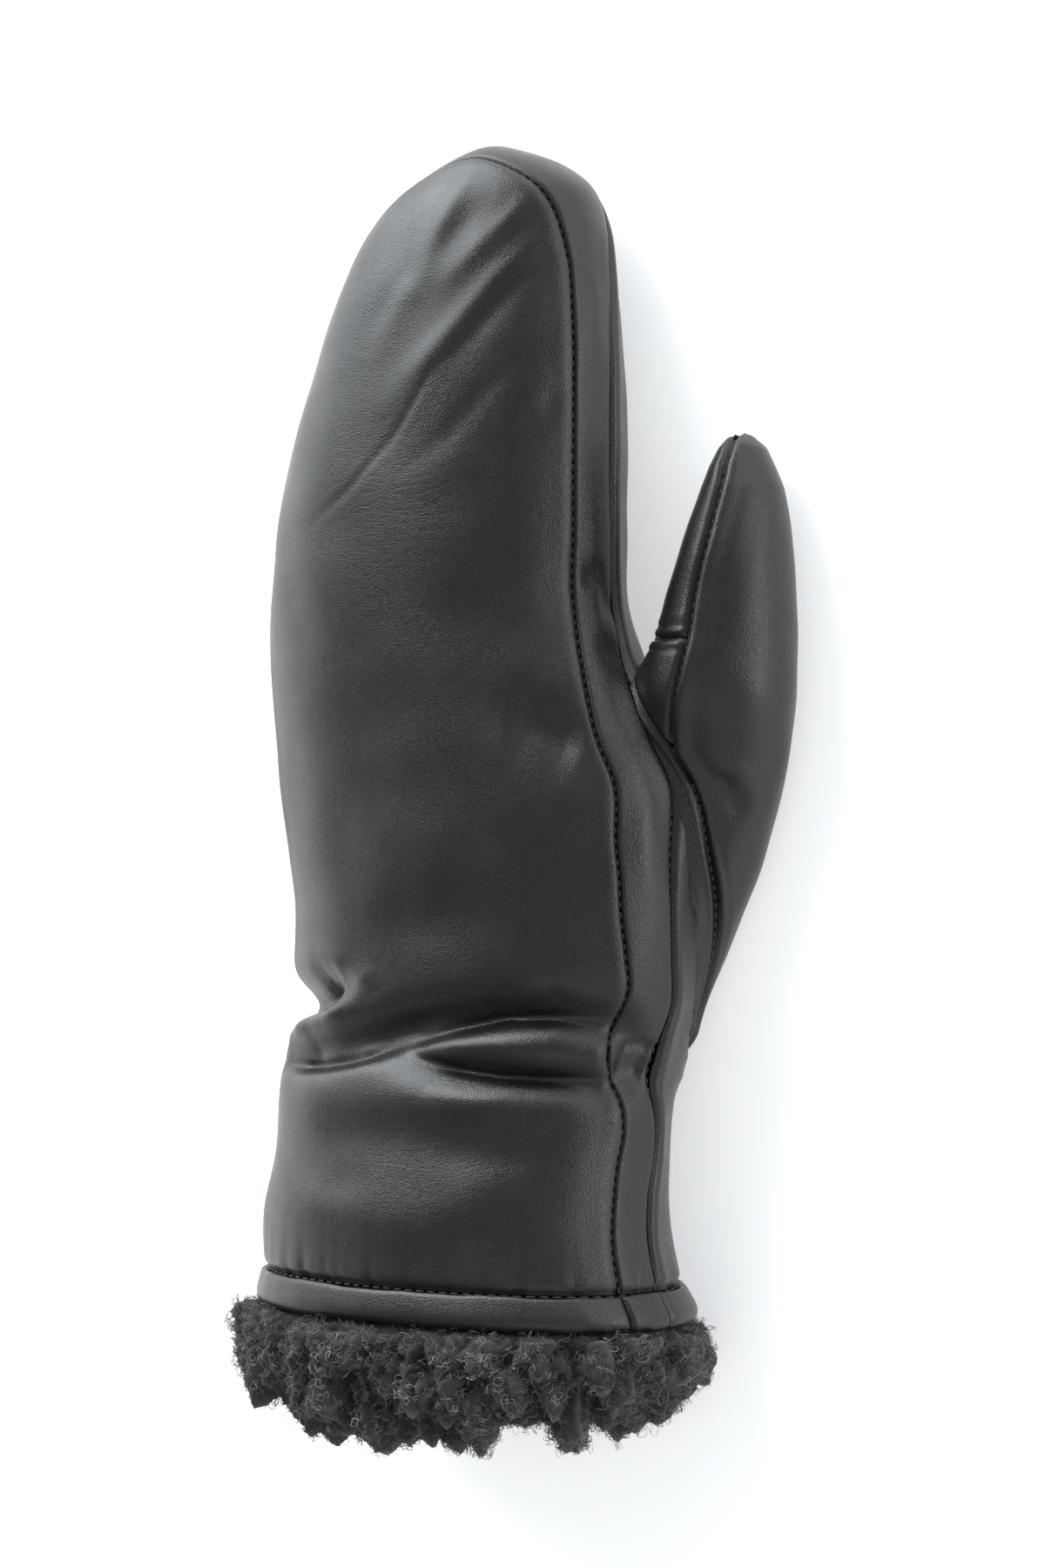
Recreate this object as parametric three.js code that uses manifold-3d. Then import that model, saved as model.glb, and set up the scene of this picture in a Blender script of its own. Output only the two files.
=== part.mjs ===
// Lined leather mitten for the left hand, lying palm down.
// Frame: +Z up from the surface it rests on, +Y from the hem to the fingertips, thumb towards +X.
import * as THREE from 'three';
import Module from 'manifold-3d';
import { mergeVertices } from 'three/addons/utils/BufferGeometryUtils.js';

const wasm = await Module();
wasm.setup();

// Driving dimensions, millimetres
const SHELL_LENGTH = 286;
const PALM_WIDTH = 103;
const PALM_THICKNESS = 56;
const SECTION_POWER = 2.2;
const REST_SOFTNESS = 3.0;
const LEATHER = 1.8;
const SEAM_GAP = 0.35;
const HEM_HEIGHT = 8.4;
const HEM_THICKNESS = 3.0;
const HEM_PROUD = 1.3;
const HEM_CLEARANCE = 0.45;
const THUMB_WIDTH = 42;
const THUMB_HEIGHT = 35;
const THUMB_FLOOR = 2.3;
const CROTCH_TOP = 0.573;
const PILE_DROP = 28;
const PILE_BULGE = 6.2;
const PILE_THICKNESS = 6;
const PILE_ROLL = 12;
const PILE_SIDE_RISE = 0.2;
const LINING_DEPTH = 80;
const LINING_CLEARANCE = 0.5;
const LOCK_SIZE = 7.0;
const LOCK_COLUMNS = 13;

// Cross sections of the shell: at is a share of SHELL_LENGTH from the hem's lower edge,
// left and right are shares of PALM_WIDTH, top and bottom shares of PALM_THICKNESS.
const SECTIONS = [
  { at: 0.000, left: -0.529, right: 0.626, top: 1.215, bottom: -0.055 },
  { at: 0.030, left: -0.526, right: 0.596, top: 1.215, bottom: -0.055 },
  { at: 0.080, left: -0.529, right: 0.558, top: 1.195, bottom: -0.055 },
  { at: 0.140, left: -0.512, right: 0.548, top: 1.145, bottom: -0.055 },
  { at: 0.200, left: -0.514, right: 0.563, top: 1.090, bottom: -0.055 },
  { at: 0.260, left: -0.506, right: 0.592, top: 1.040, bottom: -0.055 },
  { at: 0.320, left: -0.493, right: 0.610, top: 1.020, bottom: -0.060 },
  { at: 0.390, left: -0.518, right: 0.607, top: 1.018, bottom: -0.070 },
  { at: 0.460, left: -0.550, right: 0.583, top: 1.018, bottom: -0.070 },
  { at: 0.530, left: -0.566, right: 0.492, top: 1.018, bottom: -0.070 },
  { at: 0.600, left: -0.569, right: 0.406, top: 1.015, bottom: -0.070 },
  { at: 0.670, left: -0.553, right: 0.396, top: 1.000, bottom: -0.070 },
  { at: 0.740, left: -0.512, right: 0.397, top: 0.970, bottom: -0.055 },
  { at: 0.800, left: -0.461, right: 0.391, top: 0.930, bottom: -0.035 },
  { at: 0.850, left: -0.412, right: 0.377, top: 0.890, bottom: -0.010 },
  { at: 0.893, left: -0.362, right: 0.362, top: 0.848, bottom: 0.020 },
  { at: 0.930, left: -0.296, right: 0.343, top: 0.800, bottom: 0.060 },
  { at: 0.960, left: -0.205, right: 0.305, top: 0.745, bottom: 0.125 },
  { at: 0.982, left: -0.095, right: 0.222, top: 0.670, bottom: 0.200 },
  { at: 0.996, left: 0.008, right: 0.118, top: 0.570, bottom: 0.310 },
  { at: 1.000, left: 0.064, right: 0.064, top: 0.445, bottom: 0.445 },
];

// Seam between the back and the side strip, on the thumb side: share of length, angle in degrees.
const BACK_SEAM = [
  [0.000, 18], [0.063, 17.5], [0.104, 16], [0.133, 15], [0.162, 13.5], [0.191, 17],
  [0.215, 23.5], [0.236, 26], [0.280, 23], [0.308, 25.5], [0.343, 28], [0.378, 28.5],
  [0.406, 29], [0.449, 27.5], [0.486, 29], [0.523, 26.5], [0.552, 23.5], [0.596, 19],
  [0.670, 18], [0.742, 19.5], [0.816, 20], [0.889, 21], [0.920, 25.5],
];
// Seam between the side strip and the palm.
const PALM_SEAM = [
  [0.000, 0.5], [0.059, 0.5], [0.109, -1.5], [0.138, -4], [0.167, -3], [0.198, 1.5],
  [0.241, 1], [0.270, -0.5], [0.307, 2.5], [0.344, 4], [0.389, 4], [0.414, 3],
  [0.448, 2], [0.486, 5.5], [0.536, 4], [0.598, -3], [0.671, -3], [0.745, -2],
  [0.819, -4], [0.895, -11], [0.920, -17],
];
// The same seams over the fingertip, on a flat chart with the tip at its centre.
const TIP_SEAMS = [
  { side: 0.165, back: 0.0920, palm: -0.078, backOuter: 0.0780 },
  { side: 0.128, back: 0.0935, palm: -0.085, backOuter: 0.0820 },
  { side: 0.092, back: 0.0950, palm: -0.090, backOuter: 0.0860 },
  { side: 0.056, back: 0.0935, palm: -0.092, backOuter: 0.0885 },
  { side: 0.025, back: 0.0905, palm: -0.093, backOuter: 0.0890 },
  { side: 0.000, back: 0.0880, palm: -0.093, backOuter: 0.0880 },
];
// Stations along the shell where rows of vertices lie; closer together at the wrist's folds.
const ROWS = [
  0.050, 0.080, 0.110, 0.140, 0.168, 0.190, 0.203, 0.215, 0.227, 0.239, 0.251, 0.263,
  0.275, 0.288, 0.305, 0.335, 0.370, 0.405, 0.440, 0.475, 0.510, 0.545, 0.585, 0.630,
  0.675, 0.720, 0.765, 0.805, 0.840, 0.870, 0.897, 0.920,
];
const BACK_COLUMNS = 12;
const STRIP_COLUMNS = 2;
const PALM_COLUMNS = 10;

// Folds: a path of [share of length, angle], and how deep and how wide it is, as shares of
// PALM_THICKNESS.
const FOLDS = [
  { path: [[0.218, 138], [0.214, 124], [0.225, 104], [0.228, 88]], depth: 0.093, width: 0.082 },
  { path: [[0.228, 94], [0.241, 80], [0.250, 66], [0.249, 45], [0.240, 27], [0.232, 8]],
    depth: 0.068, width: 0.082 },
  { path: [[0.226, 94], [0.216, 79], [0.211, 63], [0.209, 47], [0.203, 23], [0.208, 4]],
    depth: 0.057, width: 0.079 },
  { path: [[0.272, 190], [0.269, 150], [0.264, 130], [0.265, 116], [0.282, 105]],
    depth: 0.171, width: 0.132 },
  { path: [[0.246, 128], [0.251, 114], [0.262, 104]], depth: -0.043, width: 0.082 },
  { path: [[0.480, 36], [0.497, 46], [0.511, 56]], depth: 0.036, width: 0.161 },
  { path: [[0.130, 165], [0.140, 120], [0.160, 80], [0.165, 50], [0.160, 20]],
    depth: 0.032, width: 0.143 },
  { path: [[0.493, 150], [0.492, 175]], depth: 0.0125, width: 0.125 },
];
const FOLD_RADIUS = 44;

// Thumb: at is a share of SHELL_LENGTH, x of PALM_WIDTH, z of PALM_THICKNESS,
// wide and high are shares of THUMB_WIDTH and THUMB_HEIGHT.
const THUMB = [
  { at: 0.2035, x: 0.438, z: 0.277, wide: 0.333, high: 0.429 },
  { at: 0.2289, x: 0.438, z: 0.240, wide: 0.452, high: 0.514 },
  { at: 0.2584, x: 0.442, z: 0.218, wide: 0.548, high: 0.571 },
  { at: 0.2882, x: 0.468, z: 0.200, wide: 0.595, high: 0.629 },
  { at: 0.3181, x: 0.498, z: 0.196, wide: 0.643, high: 0.669 },
  { at: 0.3478, x: 0.530, z: 0.202, wide: 0.690, high: 0.697 },
  { at: 0.3775, x: 0.563, z: 0.211, wide: 0.738, high: 0.726 },
  { at: 0.4070, x: 0.586, z: 0.220, wide: 0.786, high: 0.754 },
  { at: 0.4364, x: 0.606, z: 0.230, wide: 0.833, high: 0.789 },
  { at: 0.4657, x: 0.616, z: 0.246, wide: 0.905, high: 0.846 },
  { at: 0.4949, x: 0.625, z: 0.273, wide: 0.962, high: 0.937 },
  { at: 0.5240, x: 0.638, z: 0.293, wide: 0.981, high: 1.000 },
  { at: 0.5530, x: 0.657, z: 0.295, wide: 0.892, high: 1.000 },
  { at: 0.5821, x: 0.673, z: 0.286, wide: 0.798, high: 0.937 },
  { at: 0.6112, x: 0.681, z: 0.282, wide: 0.740, high: 0.880 },
  { at: 0.6402, x: 0.692, z: 0.279, wide: 0.657, high: 0.829 },
  { at: 0.6692, x: 0.700, z: 0.271, wide: 0.573, high: 0.726 },
  { at: 0.6983, x: 0.706, z: 0.264, wide: 0.462, high: 0.583 },
  { at: 0.7167, x: 0.703, z: 0.255, wide: 0.362, high: 0.469 },
  { at: 0.7314, x: 0.700, z: 0.248, wide: 0.266, high: 0.343 },
  { at: 0.7403, x: 0.694, z: 0.243, wide: 0.147, high: 0.183 },
  { at: 0.7440, x: 0.692, z: 0.241, wide: 0.000, high: 0.000 },
];
const THUMB_COLUMNS = 18;
// How far outside the shell the thumb's set-in seam runs: share of length, share of THUMB_WIDTH.
const SET_IN = [
  [0.00, 0.0143], [0.225, 0.0143], [0.245, 0.0333], [0.275, 0.0762], [0.320, 0.119],
  [0.360, 0.143], [0.440, 0.143], [0.480, 0.1143], [0.510, 0.0714], [0.540, 0.0381],
  [0.575, 0.0214], [1.00, 0.0214],
];
// The thumb's own lengthwise seam: share of length, offset from the thumb's centre line as a
// share of THUMB_WIDTH.
const THUMB_SEAM = [
  [0.200, -1.43], [0.425, -1.43], [0.448, -0.81], [0.462, -0.0714], [0.480, -0.0238],
  [0.540, 0.019], [0.600, 0.0], [0.660, 0.0143], [0.780, 0.0095],
];

// Colours and finishes
const leatherLook = (color) => new THREE.MeshStandardMaterial({ color, roughness: 0.45, metalness: 0 });
const pileLook = new THREE.MeshStandardMaterial({ color: 0x3a3c3f, roughness: 1, metalness: 0 });

const radians = THREE.MathUtils.degToRad;
const vector = (x, y, z) => new THREE.Vector3(x, y, z);

// Value of a two-column table at a place, smoothly between its rows.
const tableValue = (table, place) => {
  const last = table.length - 1;
  if (place <= table[0][0]) return table[0][1];
  if (place >= table[last][0]) return table[last][1];
  let i = 0;
  while (place > table[i + 1][0]) i += 1;
  const f = (place - table[i][0]) / (table[i + 1][0] - table[i][0]);
  const p1 = table[i][1];
  const p2 = table[i + 1][1];
  const p0 = i > 0 ? table[i - 1][1] : p1;
  const p3 = i + 2 <= last ? table[i + 2][1] : p2;
  return spline(p0, p1, p2, p3, f);
};

function spline(p0, p1, p2, p3, f) {
  const a = 2 * p1;
  const b = (p2 - p0) * f;
  const c = (2 * p0 - 5 * p1 + 4 * p2 - p3) * f * f;
  const d = (3 * p1 - 3 * p2 + p3 - p0) * f * f * f;
  return 0.5 * (a + b + c + d);
}

const KEYS = ['at', 'left', 'right', 'top', 'bottom'];
const LAST = SECTIONS.length - 1;
const beforeTip = SECTIONS[LAST - 1];
const mirrored = {
  at: beforeTip.at,
  left: beforeTip.right,
  right: beforeTip.left,
  top: beforeTip.bottom,
  bottom: beforeTip.top,
};

const sectionAt = (v) => {
  const out = {};
  if (v <= 0) {
    Object.assign(out, SECTIONS[0]);
    out.at = v * LAST * (SECTIONS[1].at - SECTIONS[0].at);
    return out;
  }
  const k = Math.min(v * LAST, LAST - 1e-9);
  const i = Math.floor(k);
  for (const key of KEYS) {
    const p1 = SECTIONS[i][key];
    const p2 = SECTIONS[i + 1][key];
    const p0 = i > 0 ? SECTIONS[i - 1][key] : 2 * p1 - p2;
    const p3 = i + 2 <= LAST ? SECTIONS[i + 2][key] : mirrored[key];
    out[key] = spline(p0, p1, p2, p3, k - i);
  }
  return out;
};

// The chart distance v (0 at the hem, 1 at the tip) of a share of the shell's length.
const stationOf = (at) => {
  if (at <= 0) return at / (LAST * (SECTIONS[1].at - SECTIONS[0].at));
  let low = 0;
  let high = 1;
  for (let n = 0; n < 40; n += 1) {
    const middle = (low + high) / 2;
    if (sectionAt(middle).at < at) low = middle;
    else high = middle;
  }
  return (low + high) / 2;
};

const power = (value) => Math.sign(value) * Math.abs(value) ** (2 / SECTION_POWER);

// A point of the smooth shell, without folds, before it is pressed flat by its rest.
const basePoint = (v, u) => {
  const s = sectionAt(v);
  const x = ((s.left + s.right) + (s.right - s.left) * power(Math.cos(u))) * PALM_WIDTH / 2;
  const z = ((s.top + s.bottom) + (s.top - s.bottom) * power(Math.sin(u))) * PALM_THICKNESS / 2;
  return vector(x, s.at * SHELL_LENGTH, z);
};

const chartPoint = (x, y) => basePoint(1 - Math.hypot(x, y), Math.atan2(y, x));

const chartNormal = (x, y) => {
  const e = 0.004;
  const across = chartPoint(x + e, y).sub(chartPoint(x - e, y));
  const along = chartPoint(x, y + e).sub(chartPoint(x, y - e));
  return along.cross(across).normalize();
};

// How far the folds press the surface in at a place.
const foldDepth = (at, u) => {
  let total = 0;
  for (const fold of FOLDS) {
    let best = Infinity;
    let where = 0;
    const parts = fold.path.length - 1;
    for (let i = 0; i < parts; i += 1) {
      const ax = radians(fold.path[i][1]) * FOLD_RADIUS;
      const ay = fold.path[i][0] * SHELL_LENGTH;
      const bx = radians(fold.path[i + 1][1]) * FOLD_RADIUS;
      const by = fold.path[i + 1][0] * SHELL_LENGTH;
      const px = u * FOLD_RADIUS;
      const py = at * SHELL_LENGTH;
      const length = (bx - ax) ** 2 + (by - ay) ** 2;
      const f = Math.min(1, Math.max(0, ((px - ax) * (bx - ax) + (py - ay) * (by - ay)) / length));
      const distance = Math.hypot(px - ax - f * (bx - ax), py - ay - f * (by - ay));
      if (distance < best) {
        best = distance;
        where = (i + f) / parts;
      }
    }
    const taper = Math.min(1, 0.25 + 3 * where, 0.25 + 3 * (1 - where));
    const width = fold.width * PALM_THICKNESS;
    total += fold.depth * PALM_THICKNESS * taper * Math.exp(-((best / width) ** 2));
  }
  return total;
};

// Press a height flat where it would go below a level.
const rest = (z, level, softness) => {
  const h = z - level;
  if (h <= -softness) return level;
  if (h >= softness) return z;
  return level + (h + softness) ** 2 / (4 * softness);
};

// A point of the shell at a depth below its outer face, on the chart.
const skin = (x, y, depth, floor = Math.max(0, depth)) => {
  const u = Math.atan2(y, x);
  const round = u < -Math.PI / 2 ? u + 2 * Math.PI : u;
  const point = chartPoint(x, y);
  const at = point.y / SHELL_LENGTH;
  const fold = at > 0.14 && at < 0.6 ? foldDepth(at, round) : 0;
  point.addScaledVector(chartNormal(x, y), -depth - fold);
  point.z = rest(point.z, floor, REST_SOFTNESS);
  return point;
};

// Chart place shifted by a distance (mm) across a seam whose neighbours are known.
const shiftAcross = (before, here, after, distance) => {
  const tangent = skin(...after, 0).sub(skin(...before, 0)).normalize();
  const e = 0.002;
  const jx = chartPoint(here[0] + e, here[1]).sub(chartPoint(here[0] - e, here[1]));
  jx.multiplyScalar(0.5 / e);
  const jy = chartPoint(here[0], here[1] + e).sub(chartPoint(here[0], here[1] - e));
  jy.multiplyScalar(0.5 / e);
  const normal = jx.clone().cross(jy).normalize();
  const side = normal.cross(tangent).normalize();
  const a = jx.dot(jx);
  const b = jx.dot(jy);
  const c = jy.dot(jy);
  const p = jx.dot(side) * distance;
  const q = jy.dot(side) * distance;
  const det = a * c - b * b;
  return [here[0] + (c * p - b * q) / det, here[1] + (a * q - b * p) / det];
};

// Seam lines as lists of chart places, from the hem to the fingertip.
const polar = (v, u) => [(1 - v) * Math.cos(u), (1 - v) * Math.sin(u)];
const hemTop = (HEM_HEIGHT + HEM_CLEARANCE) / SHELL_LENGTH;
const stations = [hemTop, ...ROWS].map(stationOf);
const shares = [hemTop, ...ROWS];
const seamLine = (table, outer) => shares.map((at, i) => {
  const angle = radians(tableValue(table, at));
  return polar(stations[i], outer ? Math.PI - angle : angle);
});
const backThumb = [...seamLine(BACK_SEAM, false), ...TIP_SEAMS.map((t) => [t.side, t.back])];
const backOuter = [...seamLine(BACK_SEAM, true), ...TIP_SEAMS.map((t) => [-t.side, t.backOuter])];
const palmThumb = [...seamLine(PALM_SEAM, false), ...TIP_SEAMS.map((t) => [t.side, t.palm])];
const palmOuter = [...seamLine(PALM_SEAM, true), ...TIP_SEAMS.map((t) => [-t.side, t.palm])];
const TIP = backThumb.length - 1;

// The seam lines run on over the tip, so each has neighbours everywhere.
const wholeSeam = (thumbSide, outerSide) => [...thumbSide, ...outerSide.slice(0, TIP).reverse()];
const inset = (line, distance) => line.map((here, i) => {
  const before = line[Math.max(0, i - 1)];
  const after = line[Math.min(line.length - 1, i + 1)];
  return shiftAcross(before, here, after, distance);
});
const half = SEAM_GAP / 2;
const backLine = wholeSeam(backThumb, backOuter);
const palmLine = wholeSeam(palmThumb, palmOuter);
// The seams run from the thumb side over the tip; one way across is the back, the other the palm.
const wayTest = shiftAcross(backLine[3], backLine[4], backLine[5], 1);
const backWay = Math.sign(wayTest[1] - backLine[4][1]);
const backEdge = inset(backLine, backWay * half);
const stripBackEdge = inset(backLine, -backWay * half);
const stripPalmEdge = inset(palmLine, backWay * half);
const palmEdge = inset(palmLine, -backWay * half);
// Hem ends stay level.
const level = (line) => {
  for (const end of [0, line.length - 1]) {
    const angle = Math.atan2(line[end][1], line[end][0]);
    line[end] = polar(stations[0], angle);
  }
};
[backEdge, stripBackEdge, stripPalmEdge, palmEdge].forEach(level);

const mix = (a, b, f) => a + (b - a) * f;
const arc = (a, b, f, under) => {
  let from = Math.atan2(a[1], a[0]);
  let to = Math.atan2(b[1], b[0]);
  if (under && to > 0.5) to -= 2 * Math.PI;
  if (under && from > 0.5) from -= 2 * Math.PI;
  if (!under && from < -Math.PI / 2) from += 2 * Math.PI;
  if (!under && to < -Math.PI / 2) to += 2 * Math.PI;
  const radius = mix(Math.hypot(...a), Math.hypot(...b), f);
  const angle = mix(from, to, f);
  return [radius * Math.cos(angle), radius * Math.sin(angle)];
};
const straight = (a, b, f) => [mix(a[0], b[0], f), mix(a[1], b[1], f)];

// Chart grids of the three long panels.
const steps = (count) => Array.from({ length: count + 1 }, (_, j) => j / count);
const backGrid = [];
const palmGrid = [];
for (let i = 0; i <= TIP; i += 1) {
  const other = 2 * TIP - i;
  backGrid.push(steps(BACK_COLUMNS).map((f) => arc(backEdge[i], backEdge[other], f, false)));
  palmGrid.push(steps(PALM_COLUMNS).map((f) => arc(palmEdge[i], palmEdge[other], f, true)));
}
const stripPlace = (a, b, f, i) => {
  const nearTip = i > ROWS.length && i < 2 * TIP - ROWS.length;
  return nearTip ? straight(a, b, f) : arc(a, b, f, false);
};
const stripGrid = stripPalmEdge.map((palm, i) => {
  return steps(STRIP_COLUMNS).map((f) => stripPlace(palm, stripBackEdge[i], f, i));
});

// Closed solids from grids of points.
const solidFrom = (points, faces) => {
  const positions = [];
  const geometry = new THREE.BufferGeometry();
  for (const point of points) positions.push(point.x, point.y, point.z);
  geometry.setAttribute('position', new THREE.Float32BufferAttribute(positions, 3));
  geometry.setIndex(faces.flat());
  const merged = mergeVertices(geometry, 1e-4);
  const index = [];
  const old = merged.index.array;
  for (let i = 0; i < old.length; i += 3) {
    const [a, b, c] = [old[i], old[i + 1], old[i + 2]];
    if (a !== b && b !== c && c !== a) index.push(a, b, c);
  }
  const p = merged.attributes.position.array;
  let volume = 0;
  for (let i = 0; i < index.length; i += 3) {
    const [a, b, c] = [index[i] * 3, index[i + 1] * 3, index[i + 2] * 3];
    volume += p[a] * (p[b + 1] * p[c + 2] - p[b + 2] * p[c + 1]);
    volume += p[a + 1] * (p[b + 2] * p[c] - p[b] * p[c + 2]);
    volume += p[a + 2] * (p[b] * p[c + 1] - p[b + 1] * p[c]);
  }
  if (volume < 0) index.reverse();
  merged.setIndex(index);
  return merged;
};

const quad = (a, b, c, d) => [a, b, c, a, c, d];

// A panel: its outer and inner faces, and walls round its edge.
const panel = (grid, outerDepth, innerDepth, place = skin) => {
  const rows = grid.length;
  const columns = grid[0].length;
  const outer = grid.flat().map((c) => place(c[0], c[1], outerDepth));
  const inner = grid.flat().map((c) => place(c[0], c[1], innerDepth));
  const offset = outer.length;
  const at = (i, j) => i * columns + j;
  const faces = [];
  for (let i = 0; i < rows - 1; i += 1) {
    for (let j = 0; j < columns - 1; j += 1) {
      const [a, b, c, d] = [at(i, j), at(i, j + 1), at(i + 1, j + 1), at(i + 1, j)];
      faces.push(quad(a, b, c, d));
      faces.push(quad(a + offset, b + offset, c + offset, d + offset).reverse());
    }
  }
  const wall = (a, b) => faces.push(quad(a, a + offset, b + offset, b));
  for (let j = 0; j < columns - 1; j += 1) {
    wall(at(0, j), at(0, j + 1));
    wall(at(rows - 1, j + 1), at(rows - 1, j));
  }
  for (let i = 0; i < rows - 1; i += 1) {
    wall(at(i + 1, 0), at(i, 0));
    wall(at(i, columns - 1), at(i + 1, columns - 1));
  }
  return solidFrom([...outer, ...inner], faces);
};

// A closed loft through rings of points, closed at both ends.
const loft = (rings) => {
  const count = rings[0].length;
  const points = rings.flat();
  const faces = [];
  for (let i = 0; i < rings.length - 1; i += 1) {
    for (let j = 0; j < count; j += 1) {
      const next = (j + 1) % count;
      faces.push(quad(i * count + j, i * count + next, (i + 1) * count + next, (i + 1) * count + j));
    }
  }
  for (const end of [0, rings.length - 1]) {
    const centre = points.length;
    const middle = vector(0, 0, 0);
    rings[end].forEach((point) => middle.addScaledVector(point, 1 / count));
    points.push(middle);
    for (let j = 0; j < count; j += 1) {
      const a = end * count + j;
      const b = end * count + ((j + 1) % count);
      faces.push(end === 0 ? [b, a, centre] : [a, b, centre]);
    }
  }
  return solidFrom(points, faces);
};

// A band round the wrist: a closed profile of rings.
const ringSolid = (rings) => {
  const count = rings[0].length;
  const faces = [];
  for (let i = 0; i < rings.length; i += 1) {
    const up = (i + 1) % rings.length;
    for (let j = 0; j < count; j += 1) {
      const next = (j + 1) % count;
      faces.push(quad(i * count + next, up * count + next, up * count + j, i * count + j));
    }
  }
  return solidFrom(rings.flat(), faces);
};

const toManifold = (geometry) => {
  const mesh = new wasm.Mesh({
    numProp: 3,
    vertProperties: new Float32Array(geometry.attributes.position.array),
    triVerts: new Uint32Array(geometry.index.array),
  });
  return new wasm.Manifold(mesh);
};
// Joins the ends of very short edges, then turns the long edge of each needle-thin triangle.
const SHORT_EDGE = 0.05;
const THIN = 0.02;
const tidy = (points, faces) => {
  const home = points.map((_, i) => i);
  const find = (i) => {
    let k = i;
    while (home[k] !== k) k = home[k];
    return k;
  };
  for (const face of faces) {
    for (let k = 0; k < 3; k += 1) {
      const a = find(face[k]);
      const b = find(face[(k + 1) % 3]);
      if (a !== b && points[a].distanceTo(points[b]) < SHORT_EDGE) home[b] = a;
    }
  }
  const kept = new Map();
  for (const face of faces) {
    const [a, b, c] = face.map(find);
    if (a === b || b === c || c === a) continue;
    const key = [a, b, c].sort((m, n) => m - n).join();
    if (kept.has(key)) kept.delete(key);
    else kept.set(key, [a, b, c]);
  }
  const list = [...kept.values()];
  const height = (f) => {
    const ab = points[f[1]].clone().sub(points[f[0]]);
    const ac = points[f[2]].clone().sub(points[f[0]]);
    const longest = Math.max(ab.length(), ac.length(), points[f[1]].distanceTo(points[f[2]]));
    return ab.cross(ac).length() / longest;
  };
  for (let turn = 0; turn < 400; turn += 1) {
    const owner = new Map();
    list.forEach((f, n) => {
      for (let k = 0; k < 3; k += 1) owner.set(`${f[k]},${f[(k + 1) % 3]}`, n);
    });
    const thin = list.findIndex((f) => !f.skip && height(f) < THIN);
    if (thin < 0) break;
    const f = list[thin];
    let k = 0;
    for (let m = 1; m < 3; m += 1) {
      const now = points[f[m]].distanceTo(points[f[(m + 1) % 3]]);
      if (now > points[f[k]].distanceTo(points[f[(k + 1) % 3]])) k = m;
    }
    const [a, b, c] = [f[k], f[(k + 1) % 3], f[(k + 2) % 3]];
    const other = owner.get(`${b},${a}`);
    const d = other === undefined ? undefined : list[other].find((p) => p !== a && p !== b);
    if (d === undefined || owner.has(`${c},${d}`) || owner.has(`${d},${c}`)) {
      f.skip = true;
      continue;
    }
    list[thin] = [a, d, c];
    list[other] = [d, b, c];
    if (height(list[thin]) < THIN && height(list[other]) < THIN) list[thin].skip = true;
  }
  return list;
};

// The largest single body of a cut solid, as a geometry.
const toGeometry = (manifold) => {
  const bodies = manifold.decompose();
  bodies.sort((a, b) => b.volume() - a.volume());
  const mesh = bodies[0].getMesh();
  const raw = mesh.vertProperties;
  const points = [];
  for (let i = 0; i < raw.length; i += mesh.numProp) {
    points.push(vector(raw[i], raw[i + 1], raw[i + 2]));
  }
  const faces = [];
  for (let i = 0; i < mesh.triVerts.length; i += 3) {
    faces.push([...mesh.triVerts.slice(i, i + 3)]);
  }
  return solidFrom(points, tidy(points, faces));
};

// Rings of chart places round the whole shell, through the same places as the panels' grids.
const ringAngles = (i) => {
  const places = [];
  const other = 2 * TIP - i;
  const outerStrip = steps(STRIP_COLUMNS).map((f) => arc(backOuter[i], palmOuter[i], f, false));
  const thumbStrip = steps(STRIP_COLUMNS).map((f) => arc(palmThumb[i], backThumb[i], f, false));
  const back = steps(BACK_COLUMNS).map((f) => arc(backEdge[i], backEdge[other], f, false));
  const palm = steps(PALM_COLUMNS).map((f) => arc(palmEdge[other], palmEdge[i], f, true));
  places.push(...back.slice(0, -1), ...outerStrip.slice(0, -1));
  places.push(...palm.slice(0, -1).map((c) => c), ...thumbStrip.slice(0, -1));
  return places;
};
const shellRows = [...Array(ROWS.length + 1).keys()];

// Shell volume at a depth that can vary along its length, closed at the hem and the tip.
const shellVolume = (depthAt) => {
  const rings = shellRows.map((i) => {
    const depth = depthAt(shares[i]);
    return ringAngles(i).map((c) => skin(c[0], c[1], depth, depth));
  });
  for (const radius of [0.16, 0.11, 0.06, 0.02]) {
    const count = rings[0].length;
    const depth = depthAt(1);
    const ring = [];
    const lastAngles = ringAngles(ROWS.length).map((c) => Math.atan2(c[1], c[0]));
    for (let j = 0; j < count; j += 1) {
      const c = [radius * Math.cos(lastAngles[j]), radius * Math.sin(lastAngles[j])];
      ring.push(skin(c[0], c[1], depth, depth));
    }
    rings.push(ring);
  }
  return toManifold(loft(rings));
};

// Thumb
const thumbRows = THUMB.slice(0, -1);
const thumbCentre = (at) => tableValue(THUMB.map((t) => [t.at, t.x * PALM_WIDTH]), at);
const thumbRing = (row, depth, floor) => {
  const a = Math.max(0, row.wide * THUMB_WIDTH / 2 - depth);
  const b = Math.max(0, row.high * THUMB_HEIGHT / 2 - depth);
  return Array.from({ length: THUMB_COLUMNS }, (_, j) => {
    const angle = (j + 0.5) * 2 * Math.PI / THUMB_COLUMNS;
    const x = row.x * PALM_WIDTH + a * Math.cos(angle);
    const z = row.z * PALM_THICKNESS + b * Math.sin(angle);
    return vector(x, row.at * SHELL_LENGTH, rest(z, floor, 1.5));
  });
};
const thumbOuter = toManifold(loft([
  ...thumbRows.map((row) => thumbRing(row, 0, 0)),
  thumbRing(THUMB[THUMB.length - 1], 0, 0),
]));
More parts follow.
